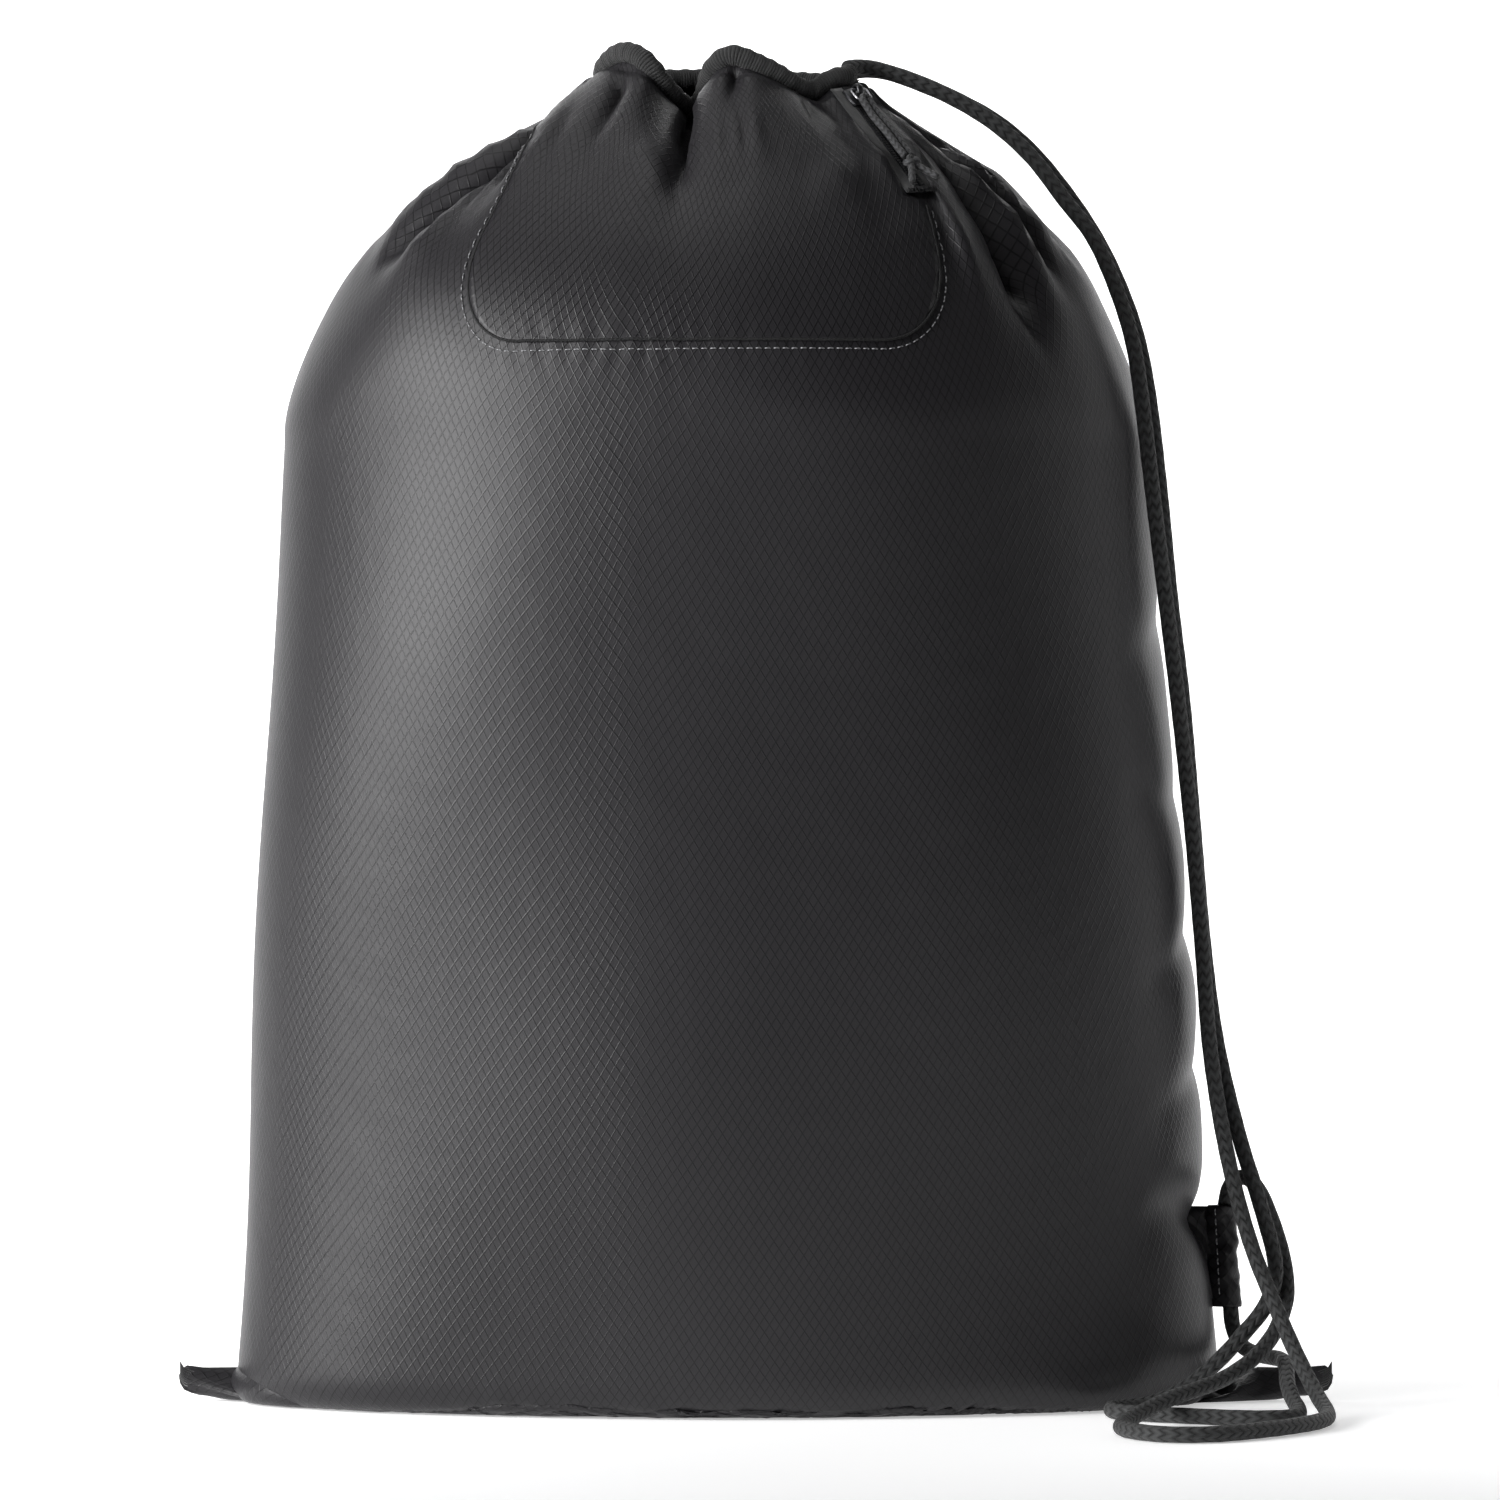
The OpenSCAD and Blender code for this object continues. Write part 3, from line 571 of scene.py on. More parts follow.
    def refined(self):
        """The same cloth with twice the points each way."""
        fine = Cloth(self.cols * 2, self.rows * 2 - 1)
        q = self.p
        wide = np.zeros((self.rows, fine.n, 3))
        wide[:, 0::2] = q
        wide[:, 1::2] = (9 * (q + np.roll(q, -1, 1)) - np.roll(q, 1, 1) - np.roll(q, -2, 1)) / 16
        tall = np.zeros((fine.rows, fine.n, 3))
        tall[0::2] = wide
        tall[1::2] = (wide[:-1] + wide[1:]) / 2
        tall[3:-3:2] = (9 * (wide[1:-2] + wide[2:-1]) - wide[:-3] - wide[3:]) / 16
        fine.p = tall
        # Every cell is cut into four, and the cloth that was held stays where it was.
        wide = np.repeat(self.ru, 2, 1) / 2
        fine.ru = np.zeros((fine.rows, fine.n))
        fine.ru[0::2], fine.ru[1::2] = wide, (wide[:-1] + wide[1:]) / 2
        tall = np.repeat(self.rv, 2, 0) / 2
        fine.rv = np.zeros((fine.rows - 1, fine.n))
        fine.rv[:, 0::2], fine.rv[:, 1::2] = tall, (tall + np.roll(tall, -1, 1)) / 2
        fine.r_up = np.repeat(np.repeat(self.r_up, 2, 0), 2, 1) / 2
        fine.r_down = np.roll(np.repeat(np.repeat(np.roll(self.r_down, -1, 1), 2, 0), 2, 1) / 2, 1, 1)
        ear = (fine.v[:, None] < EAR_LEN - .004) & (fine.near_seam[None] < .0065)
        fine.place[ear] = fine.p[ear]
        fine.fixed |= ear
        fine.place[0], fine.place[-1] = fine.seam_line(), fine.mouth
        fine.p[fine.fixed] = fine.place[fine.fixed]
        return fine


def simulate():
    """The cloth at rest: first on a coarse grid, then on one twice as fine."""
    rng = np.random.default_rng(7)
    c = Cloth(COLS, ROWS)
    c.start()
    push = rng.normal(0, .0004, c.folds.shape) - c.folds
    push[c.fixed] = 0
    c.p += c.normals() * push[..., None]
    c.rests()
    c.settle(120, k_bend=.003)
    c = c.refined()
    c.settle(110, k_bend=.004)
    c.bend(.04)
    return c


# ---------------------------------------------------------------- materials

class Nodes:
    """A short way to write a material's nodes."""

    def __init__(self, name):
        self.mat = bpy.data.materials.new(name)
        self.mat.use_nodes = True
        self.tree = self.mat.node_tree
        self.tree.nodes.clear()
        self.bsdf = self.add("ShaderNodeBsdfPrincipled")
        self.link(self.bsdf.outputs[0], self.add("ShaderNodeOutputMaterial").inputs[0])

    def add(self, kind, **props):
        node = self.tree.nodes.new(kind)
        for key, value in props.items():
            setattr(node, key, value)
        return node

    def link(self, a, b):
        self.tree.links.new(a, b)

    def math(self, op, *values):
        node = self.add("ShaderNodeMath", operation=op)
        for socket, v in zip(node.inputs, values):
            if isinstance(v, (int, float)):
                socket.default_value = v
            else:
                self.link(v, socket)
        return node.outputs[0]

    def times(self, a, b):
        return self.math("MULTIPLY", a, b)

    def plus(self, a, b):
        return self.math("ADD", a, b)

    def minus(self, a, b):
        return self.math("SUBTRACT", a, b)

    def off_middle(self, t):
        """How far t is from the middle of its step, 0 to .5."""
        return self.math("ABSOLUTE", self.minus(self.math("FRACT", t), .5))

    def wave(self, t, pitch):
        """A sine along t that repeats after `pitch`."""
        return self.math("SINE", self.times(t, 2 * math.pi / pitch))

    def uv(self):
        coords = self.add("ShaderNodeUVMap", uv_map="cloth")
        split = self.add("ShaderNodeSeparateXYZ")
        self.link(coords.outputs[0], split.inputs[0])
        return coords.outputs[0], split.outputs[0], split.outputs[1]

    def object_place(self):
        return self.add("ShaderNodeTexCoord").outputs["Object"]

    def noise(self, vector, scale, detail=2.0, rough=.5):
        node = self.add("ShaderNodeTexNoise")
        for key, value in (("Scale", scale), ("Detail", detail), ("Roughness", rough)):
            node.inputs[key].default_value = value
        if vector is not None:
            self.link(vector, node.inputs["Vector"])
        return node.outputs[0]

    def ramp(self, value, lo, hi):
        node = self.add("ShaderNodeMapRange")
        for key, v in (("From Min", lo[0]), ("From Max", hi[0]), ("To Min", lo[1]), ("To Max", hi[1])):
            node.inputs[key].default_value = v
        self.link(value, node.inputs["Value"])
        return node.outputs[0]

    def colours(self, value, *stops):
        """Colours along value, from stops of (place, colour)."""
        node = self.add("ShaderNodeValToRGB")
        ends = node.color_ramp.elements
        for end, (at, colour) in ((ends[0], stops[0]), (ends[1], stops[-1])):
            end.position = at
            end.color = (*colour, 1)
        for at, colour in stops[1:-1]:
            ends.new(at).color = (*colour, 1)
        self.link(value, node.inputs[0])
        return node.outputs[0]

    def shades(self, value, base, *stops):
        """One colour made darker or brighter along value, from stops of (place, factor)."""
        return self.colours(value, *[(at, tuple(k * c for c in base)) for at, k in stops])

    def bump(self, height, distance, strength=1.0, normal=None):
        node = self.add("ShaderNodeBump")
        node.inputs["Distance"].default_value = distance
        node.inputs["Strength"].default_value = strength
        self.link(height, node.inputs["Height"])
        if normal is not None:
            self.link(normal, node.inputs["Normal"])
        return node.outputs[0]

    def yarn(self, uv, height, fine, fuzz, base, stops, depth):
        """Colour and relief of yarn: painted highlight where it stands proud, painted shade in the
        grooves, with fibres on it.
        """
        fibre = self.noise(uv, fine, 3)
        # Colour follows the relief: painted shade low between the strands, painted highlight on their
        # crowns, with fibre flecks.
        shade_and_fibre_tone = self.shades(self.plus(self.times(height, .8), self.times(fibre, fuzz)), base, *stops)
        self.wire(Base_Color=shade_and_fibre_tone, Normal=self.bump(self.plus(height, self.times(fibre, .2)), depth))

    def set(self, **values):
        for key, value in values.items():
            self.bsdf.inputs[key.replace("_", " ")].default_value = value

    def wire(self, **values):
        for key, value in values.items():
            self.link(value, self.bsdf.inputs[key.replace("_", " ")])


CELL_W, CELL_H = .0037, .0055      # the ripstop grid's diamonds
YARN = .00042                      # pitch of the plain weave between them


def ripstop(name, base, line, rough, sheen):
    """Thin coated cloth with a diamond ripstop grid, drawn in the cloth's own metres."""
    m = Nodes(name)
    uv, u, v = m.uv()
    # Two families of thick threads cross in diamonds.
    families = []
    for op in ("ADD", "SUBTRACT"):
        t = m.math(op, m.math("DIVIDE", u, CELL_W), m.math("DIVIDE", v, CELL_H))
        families.append(m.ramp(m.off_middle(t), (.02, 1.0), (.10, 0.0)))
    thread = m.math("MAXIMUM", *families)
    cloudy = m.noise(uv, 9, 3)
    mix = m.add("ShaderNodeMix", data_type="RGBA")
    m.link(m.times(thread, .95), mix.inputs["Factor"])
    m.link(m.shades(cloudy, base, (.3, .92), (.7, 1.08)), mix.inputs["A"])
    mix.inputs["B"].default_value = (*line, 1)
    m.wire(Base_Color=mix.outputs["Result"])
    cloudy_rough = m.ramp(cloudy, (.3, rough - .03), (.7, rough + .04))
    m.wire(Roughness=m.plus(cloudy_rough, m.times(thread, -.10)))
    weave = m.times(m.wave(u, YARN), m.wave(v, YARN))
    grain = m.plus(m.times(weave, .12), m.times(m.noise(uv, 1400, 2), .25))
    ripple = m.noise(uv, 60, 3, .55)
    m.wire(Normal=m.bump(m.plus(thread, grain), .00006, 1.0, m.bump(ripple, .0009, .35)))
    m.set(Specular_IOR_Level=.34, Sheen_Weight=sheen, Sheen_Roughness=.45)
    m.bsdf.inputs["Sheen Tint"].default_value = (.85, .84, .9, 1)
    return m.mat


def braid(name, base, around, pitch, rough, depth, sheen=.12):
    """Round braid: strands that cross each other, drawn along the cord's own coordinates."""
    m = Nodes(name)
    uv, u, v = m.uv()
    turn = m.math("DIVIDE", v, pitch)
    a, b = m.plus(m.times(u, around), turn), m.minus(m.times(u, around), turn)
    round_a, round_b = [m.minus(1, m.math("POWER", m.times(m.off_middle(t), 2), 2)) for t in (a, b)]
    over = m.math("GREATER_THAN", m.math("SINE", m.times(m.plus(a, b), math.pi)), 0)
    height = m.math("MAXIMUM", m.times(round_a, over), m.times(round_b, m.minus(1, over)))
    # These stops paint shade in the grooves and a highlight on the strands' crowns.
    m.yarn(uv, height, 900, .25, base, ((.15, .3), (.6, 1), (1.0, 3.4)), depth)
    m.set(Roughness=rough, Sheen_Weight=sheen, Sheen_Roughness=.5)
    return m.mat


def ribbed(name, base, pitch, depth=.0003, sheen=.2):
    """Woven or knitted tape with ribs across it."""
    m = Nodes(name)
    uv, u, v = m.uv()
    rib = m.math("ABSOLUTE", m.math("SINE", m.times(v, math.pi / pitch)))
    stitch = m.math("ABSOLUTE", m.math("SINE", m.times(u, math.pi / (pitch * .8))))
    height = m.times(rib, m.plus(.75, m.times(stitch, .25)))
    # These stops paint shade between the ribs and a highlight on their crowns.
    m.yarn(uv, height, 800, .2, base, ((.1, .45), (.9, 1.35)), depth)
    m.set(Roughness=.7, Sheen_Weight=sheen)
    return m.mat


def metal(name, base, rough, metallic=1.0):
    """Lacquered or bare metal, a little brighter where it is rubbed."""
    m = Nodes(name)
    where = m.object_place()
    scuffs = m.noise(where, 900, 5, .65)
    worn = m.plus(m.times(scuffs, .6), m.times(m.noise(where, 250, 2), .4))
    m.wire(Base_Color=m.colours(worn, (.4, base), (.72, tuple(c + .06 for c in base))),
           Roughness=m.ramp(scuffs, (.3, rough - .08), (.7, rough + .1)),
           Normal=m.bump(scuffs, .00003, .5))
    m.set(Metallic=metallic)
    return m.mat


def moulded(name, base, rough):
    """Nylon with a little grain, for the zip's coil."""
    m = Nodes(name)
    grain = m.noise(m.object_place(), 1800, 3)
    m.wire(Base_Color=m.shades(grain, base, (.3, .8), (.7, 1.3)),
           Roughness=m.ramp(grain, (.3, rough), (.7, rough + .15)),
           Normal=m.bump(grain, .00003, .6))
    return m.mat


CLOTH = ripstop("ripstop_cloth", (.0150, .0141, .0160), (.0030, .0028, .0032), .42, .03)
POCKET = ripstop("pocket_cloth", (.0138, .0130, .0147), (.0028, .0026, .0030), .40, .03)
BINDING = ribbed("seam_binding", (.010, .010, .011), .0009)
TAPE = ribbed("tunnel_tape", (.0058, .0058, .0062), .0011, depth=.0004, sheen=.08)
THREAD = braid("thread", (.11, .11, .115), 3, .0016, .6, .00012)
# Near-black: real black thread in the zip's bar tack, and the painted shadow gap under the pocket's
# folded edge.
BLACK_THREAD_AND_SHADOW_GAP = braid("black_thread_and_painted_gap", (.0018, .0018, .002), 3, .0016, .9, .00012, 0)
ZIP_TAPE = ribbed("zip_tape", (.012, .012, .013), .0007, depth=.00015)
ZIP_COIL = moulded("zip_coil", (.010, .010, .011), .30)
ZIP_METAL = metal("zip_metal", (.035, .035, .038), .34, .9)
BAIL_WIRE = metal("bail_wire", (.42, .42, .44), .28)
PULL_BRAID = braid("pull_cord", (.011, .011, .012), 4, .0030, .7, .00022)
CORD = braid("drawcord", (.0100, .0104, .0106), 6, .0046, .72, .0006, .06)


# ---------------------------------------------------------------- pieces

def sheet_mesh(name, outer, inner, uv, mat):
    """A closed thin sheet between two grids of points."""
    rows, cols = outer.shape[:2]
    k = rows * cols
    idx = np.arange(k).reshape(rows, cols)
    a, b, d, e = [part.ravel() for part in (idx[:-1, :-1], idx[:-1, 1:], idx[1:, 1:], idx[1:, :-1])]
    faces = [*zip(a, b, d, e), *zip(a + k, e + k, d + k, b + k)]
    loop = np.concatenate([idx[0, :-1], idx[:-1, -1], idx[-1, :0:-1], idx[:0:-1, 0]])
    nxt = np.roll(loop, -1)
    faces += [*zip(loop, loop + k, nxt + k, nxt)]
    points = np.concatenate([outer.reshape(-1, 3), inner.reshape(-1, 3)])
    both = np.concatenate([uv.reshape(-1, 2)] * 2)
    return new_mesh(name, points, [tuple(int(x) for x in f) for f in faces], uv=both, mat=mat)


def capsules(name, starts, ends, normals, r, mat):
    """Stitches: short threads that bow up from the cloth and dive into it at both ends."""
    objs = []
    t = np.linspace(0, 1, 6)
    bow = ((np.sin(t * math.pi) ** .6 - .35) * r * 1.6)[:, None]
    for p, q, n in zip(starts, ends, normals):
        line = p[None] * (1 - t)[:, None] + q[None] * t[:, None] + n[None] * bow
        objs.append(tube("stitch", line, r * np.array([.7, 1, 1, 1, 1, .7]), 6))
    return join(name, objs, mat)


def panel(name, first, last, thick=.0003):
    """The cloth between two columns, as a sheet with its own thickness."""
    cols = np.arange(first, last + 1)
    outer = c.p[:, cols % c.n]
    inner = outer - c.normals()[:, cols % c.n] * thick
    v, u = np.meshgrid(c.v, (cols - first) * c.du, indexing="ij")
    return sheet_mesh(name, outer, inner, np.stack([u, v], -1), CLOTH)


bag, slider, pull = "bag", "slider", "pull"
c = simulate()

# The pocket's left and right edge round the cloth, and the rounding of its lower corners.
POCKET_U0, POCKET_U1, POCKET_R = .114, ZIP_U, .034
pocket_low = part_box("stow_pocket")[0][2]


def rises_to(z, u, low, high, n):
    """Where between low and high the cloth's column at u stands at height z."""
    v = np.linspace(low, high, n)
    return float(np.interp(z, c.at(np.full(n, u), v)[0][:, 2], v))


# The pocket's lower edge is where the front stands at its CAD height.
POCKET_V = rises_to(pocket_low, .22, .3, .62, 400)
LEVEL_U = np.linspace(POCKET_U0 - .01, POCKET_U1 + .01, 60)
LEVEL_V = np.array([rises_to(pocket_low, u, .45, .6, 200) for u in LEVEL_U]) - POCKET_V
LEVEL_V = np.clip(LEVEL_V, -.03, .03)


def level(u, v):
    """v moved so that the pocket's lower edge keeps one height across the cloth's folds."""
    share = (FLAT_L - v) / (FLAT_L - POCKET_V)
    return v + np.interp(u, LEVEL_U, LEVEL_V) * np.clip(share, 0, 1.2) ** 2


def pocket_edges(v):
    """Left and right edge of the pocket at v; the right one runs beside the zip above its foot."""
    h = np.clip(POCKET_R - (v - POCKET_V), 0, POCKET_R)
    loss = POCKET_R - np.sqrt(np.maximum(POCKET_R ** 2 - h ** 2, 0))
    right = np.where(v > FLAT_L - ZIP_LEN - .004, ZIP_U - .0078, POCKET_U1 - loss)
    return POCKET_U0 + loss, right


def pocket_outline(out, step):
    """The pocket's U-shaped edge, moved outwards, from the upper left to the zip's foot."""
    r = POCKET_R + out
    left, right, low = POCKET_U0 - out, POCKET_U1 + out, POCKET_V - out
    a = np.linspace(0, math.pi / 2, 24)
    line = [(left, FLAT_L - .008), (left, low + r)]
    line += [(left + r - r * math.cos(t), low + r - r * math.sin(t)) for t in a[1:]]
    line += [(right - r + r * math.sin(t), low + r - r * math.cos(t)) for t in a]
    line += [(right, FLAT_L - ZIP_LEN - .008)]
    line = evenly(np.array([(x, y, 0) for x, y in line]), step)[:, :2]
    return np.stack([line[:, 0], level(line[:, 0], line[:, 1])], 1)


# Small puckers that the stitching draws into the cloth beside the pocket's seam.
PUCKER, PUCKER_PITCH, PUCKER_REACH = .00042, .0092, .0075
line = pocket_outline(.0015, .002)
v, u = np.meshgrid(c.v, c.u, indexing="ij")
near = (u > POCKET_U0 - .03) & (u < POCKET_U1 + .03) & (v > POCKET_V - .06)
gap = np.full(u.shape, 1.0)
run = np.zeros(u.shape)
d = np.hypot(u[near][:, None] - line[None, :, 0], v[near][:, None] - line[None, :, 1])
gap[near], run[near] = d.min(1), d.argmin(1) * .002
pucker = (np.sin(run * 2 * math.pi / PUCKER_PITCH + 2.0 * np.sin(run * 61))
          * (.6 + .4 * np.sin(run * 37 + 1)) * np.exp(-(gap / PUCKER_REACH) ** 2))
pucker[c.fixed] = 0
c.p += c.normals() * (PUCKER * pucker)[..., None]

front = panel("front_cloth", 0, c.cols)
back = panel("back_cloth", c.cols, c.n)
place(front, bag, "front_panel")
place(back, bag, "back_panel")


def pocket_piece():
    """The pocket's cloth, just outside the front panel, with closer rows round its lower corners."""
    lo = POCKET_V + np.array([0, .0006, .0015, .003, .005, .0075, .0105, .014, .018, .0225, .028])
    rows = np.concatenate([lo, np.arange(lo[-1] + .003, FLAT_L - .0035, .003)])
    share = np.linspace(0, 1, 62)
    left, right = pocket_edges(rows)
    u = left[:, None] + (right - left)[:, None] * share[None]
    v = level(u, np.repeat(rows[:, None], len(share), 1))
    p, n = c.at(u, v)
    return sheet_mesh("pocket_cloth", p + n * .0011, p + n * .0005, np.stack([u, v], -1), POCKET)


pocket = pocket_piece()
place(pocket, bag, "stow_pocket")

# The pocket's edge: the real seam fold and its stitching, with the shadow gap under the fold painted
# in as a near-black tube.
line = pocket_outline(0, .0025)
p, n = c.at(line[:, 0], line[:, 1])
edge = tube("pocket_edge", p + n * .0008, .00055, 8, BLACK_THREAD_AND_SHADOW_GAP)
place(edge, bag)


def stitch_row(name, uv, r, share=.66, lift=.0001):
    """Stitches between places (u, v) on the cloth, each over its share of the step."""
    a, b = uv[:-1], uv[:-1] + np.diff(uv, axis=0) * share
    p, n = c.at(a[:, 0], a[:, 1])
    q, _ = c.at(b[:, 0], b[:, 1])
    return capsules(name, p + n * lift, q + n * lift, n, r, THREAD)


sewn_pocket = stitch_row("pocket_stitches", pocket_outline(.0030, .0036), .00026)
place(sewn_pocket, bag, "pocket_stitching")


def smoothed(line, times):
    """A line with its bends eased and its ends kept."""
    for _ in range(times):
        line[1:-1] = (line[:-2] + 2 * line[1:-1] + line[2:]) / 4
    return line


# Drawcord tunnel: a tube of ribbed tape round the cord, open at the right where the cord leaves.
ring_u = np.concatenate([np.linspace(.372, 0, 260), np.linspace(.92, .510, 260)[1:]])
ring = smoothed(mouth_line(ring_u, pleats=0) + np.array([0, 0, .0018]), 6)
ring = evenly(ring, .0012)
ring[0], ring[-1] = ROUTE_A[0], ROUTE_B[0]
ring = smoothed(ring, 10)
s_ring = np.linspace(0, length(ring), len(ring))
swell = (1 + .05 * np.sin(s_ring * 2 * math.pi / .0052 + 1.5 * np.sin(s_ring * 140)))[2:-2]
outer = tube("tunnel_tape", ring[2:-2], .0037 * swell, 20, TAPE, up=(0, 0, 1), wide=.0040 * swell)
place(outer, bag, "drawcord_tunnel")
held = tube("cord_in_tunnel", ring, CORD_R, 16, CORD)
place(held, bag, "drawcord_in_tunnel")

row_u = np.concatenate([np.linspace(.366, 0, 110), np.linspace(.92, .515, 120)])
row = np.stack([row_u, np.full(230, FLAT_L - .0062)], 1)
parts = [stitch_row("sewn", part, .00024) for part in (row[:110], row[110:])]
stitches = join("tunnel_stitches", parts, THREAD)
place(stitches, bag, "tunnel_stitching")


def strand(name, route, node):
    """A free strand of the drawcord, as a tube along its route."""
    path = evenly(spline(route, 10), .0016)
    r = CORD_R * (1 + .012 * np.sin(np.arange(len(path)) * .9))
    obj = tube(name, path, r, 16, CORD)
    place(obj, bag, node)


strand("drawcord_front", ROUTE_A, "drawcord_strand_a")
strand("drawcord_rear", ROUTE_B, "drawcord_strand_b")
through = tube("cord_in_tab", evenly(np.array([ROUTE_B[-1], ROUTE_A[-1]]), .0016), CORD_R, 16, CORD)
place(through, bag, "drawcord_in_tab")


def allowance(name, p, inward, node):
    """A seam allowance: a narrow strip from the seam line p towards the inside."""
    n = np.cross(np.gradient(p, axis=0), inward)
    n /= np.linalg.norm(n, axis=1)[:, None]
    near, far = p + inward * .0006, p + inward * .0080
    outer, inner = [np.stack([near + n * half, far + n * half], 1) for half in (.0004, -.0004)]
    s = run_along(p)
    uv = np.stack([np.stack([s, np.zeros_like(s)], 1), np.stack([s, np.full_like(s, .0074)], 1)], 1)
    obj = sheet_mesh(name, outer, inner, uv, BINDING)
    place(obj, bag, node)


for name, col, node in (("side_allowance_left", 0, "side_seam_left"),
                        ("side_allowance_right", c.cols, "side_seam_right")):
    p = c.p[12:-14, col]
    middle = np.stack([lean(p[:, 2]), p[:, 1], p[:, 2]], 1)
    inward = (middle - p) / np.linalg.norm(middle - p, axis=1)[:, None]
    allowance(name, p, inward, node)
p = c.p[0, 3:c.cols - 2]
upright = np.tile([0, 0, 1.0], (len(p), 1))
allowance("bottom_allowance", p + np.array([0, 0, .0006]), upright, "bottom_seam")


# ---------------------------------------------------------------- zip

def on_zip(points):
    """From the zip's frame (across, along, out) in metres to the scene."""
    p = np.asarray(points, float)
    return ZIP_TOP + p[..., :1] * ZIP_ACROSS + p[..., 1:2] * ZIP_ALONG + p[..., 2:] * ZIP_OUT


# Along and out from the zip's top: the slider's upper end, and the bail's hinge.
SLIDER_Y, HINGE_Y, HINGE_Z = .003, .0072, .0064


def plate(outline, z0, z1, bevel):
    """A flat plate in the zip's frame with rounded edges."""
    n = len(outline)
    o = np.array(outline, float)
    mid = o.mean(0)
    size = np.abs(o - mid).max(0)
    rings = []
    for inset, z in ((bevel, z0), (0, z0 + bevel), (0, z1 - bevel), (bevel, z1)):
        q = mid + (o - mid) * (1 - inset / size)
        rings.append(np.column_stack([q, np.full(n, z)]))
    points = on_zip(np.concatenate(rings))
    faces = [tuple(range(n))[::-1], tuple(3 * n + k for k in range(n))]
    for low in (0, n, 2 * n):
        for k in range(n):
            j = (k + 1) % n
            faces.append((low + k, low + j, low + n + j, low + n + k))
    return new_mesh("plate", points, faces, smooth=False)


def arc_outline(corners, r, steps):
    """A closed outline with its corners rounded."""
    out = []
    n = len(corners)
    for i in range(n):
        a, b, d = (np.array(corners[(i + k) % n], float) for k in (-1, 0, 1))
        u, w = unit(a - b), unit(d - b)
        p, q = b + u * r, b + w * r
        for t in np.linspace(0, 1, steps):
            out.append((1 - t) ** 2 * p + 2 * t * (1 - t) * b + t * t * q)
    return out


# Zip tapes, each with a raised edge beside the coil.
for word, side in (("left", 1), ("right", -1)):
    y = np.linspace(0, ZIP_LEN, 34)[:, None]
    x = (np.array([.0020, .0026, .0033, .0050, .0062, .0070]) * side)[::side]
    rise = np.array([.0001, .0003, .0001, 0, 0, -.0001])[::side]
    top, low = [on_zip(np.stack(np.broadcast_arrays(x, y, z), -1)) for z in (.0019 + rise, .0015)]
    uv = np.stack(np.broadcast_arrays(x, y), -1)
    # In the zip's frame X runs to the left, so the grid's rows are turned round to face outwards.
    obj = sheet_mesh("zip_tape_" + word, top[:, ::-1], low[:, ::-1], uv[:, ::-1], ZIP_TAPE)
    place(obj, bag, "zipper_tape_" + word)

# Bar-tack over the tapes' lower ends.
x = np.arange(-.0066, .0066, .0015)
ends = [on_zip(np.stack(np.broadcast_arrays(across, along, .0021), 1))
        for across, along in ((x, ZIP_LEN - .0022), (x + .0008, ZIP_LEN + .0004))]
tack = capsules("zip_bar_tack", *ends, np.tile(ZIP_OUT, (len(x), 1)), .00028, BLACK_THREAD_AND_SHADOW_GAP)
place(tack, bag)

for node, mat in (("zipper_coil_left", ZIP_COIL), ("zipper_coil_right", ZIP_COIL),
                  ("zipper_top_stop", ZIP_METAL), ("zipper_bottom_stop", ZIP_METAL)):
    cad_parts[node].data.materials.clear()
    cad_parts[node].data.materials.append(mat)

# Slider: two waisted plates joined by the divider, with a bridge that holds the bail.
s = SLIDER_Y
shape = [(-.0040, s + .0004), (-.0018, s), (.0018, s), (.0040, s + .0004), (.0040, s + .0045),
         (.0033, s + .0098), (-.0033, s + .0098), (-.0040, s + .0045)]
outline = arc_outline(shape, .0008, 4)
parts = [plate(outline, 0, .0006, .00015), plate(outline, .0030, .0037, .0002)]
for side in (-1, 1):
    flange = [(side * .0024, s + .0004), (side * .0040, s + .0004), (side * .0040, s + .0045),
              (side * .0033, s + .0098), (side * .0024, s + .0098)]
    for z0, z1 in ((.0004, .0012), (.0023, .0032)):
        parts.append(plate(flange[::side], z0, z1, .0001))
divider = [(-.00025, s + .0001), (.00025, s + .0001), (.00025, s + .0025), (-.00025, s + .0025)]
parts.append(plate(divider, .0003, .0033, .00005))
arch = [(-.0026, .0034), (-.0024, .0056), (-.0012, .0076), (.0006, .0079), (.0020, .0069),
        (.0025, .0052), (.0026, .0034)]
arch = spline([(0, HINGE_Y + y, z) for y, z in arch], 5)
parts.append(tube("bridge", on_zip(arch), .0007, 10, wide=.0013, up=ZIP_ACROSS))
slide = join("slider_body", parts, ZIP_METAL)
place(slide, slider, "zipper_slider")

# Bail: a rounded loop of thin wire through the bridge.
end, half = HINGE_Y + .006, .0035
corners = [(-half, HINGE_Y), (half, HINGE_Y), (half - .0004, end), (.0004 - half, end)]
loop = [(x, y, HINGE_Z) for x, y in arc_outline(corners, .0014, 6)]
loop = evenly(np.array(loop + loop[:1]), .0005)[:-1]
bail = tube("bail", on_zip(loop), .0005, 12, BAIL_WIRE, closed=True)
place(bail, pull, "slider_bail")

# Pull: a doubled cord looped round the bail, with an overhand knot and two tails.
strands = []
for side in (-1, 1):
    y = np.linspace(end + .0004, end + .0372, 24)
    sway = .0004 * np.sin((y - end) / .038 * 5.5)
    line = np.column_stack([side * .00135 + sway, y, HINGE_Z + .0002 * np.cos((y - end) * 300)])
    strands.append(tube("strand", on_zip(line), .0014, 14))
a = np.linspace(-2.5, 2.5, 17)
eye = np.column_stack([np.zeros(17), end - .0011 * np.cos(a), HINGE_Z + .0012 * np.sin(a)])
for x in (-.0009, .0009):
    strands.append(tube("eye", on_zip(eye + np.array([x, 0, 0])), .0009, 10))
cord_pull = join("pull_cord_braid", strands, PULL_BRAID)
place(cord_pull, pull, "pull_cord")

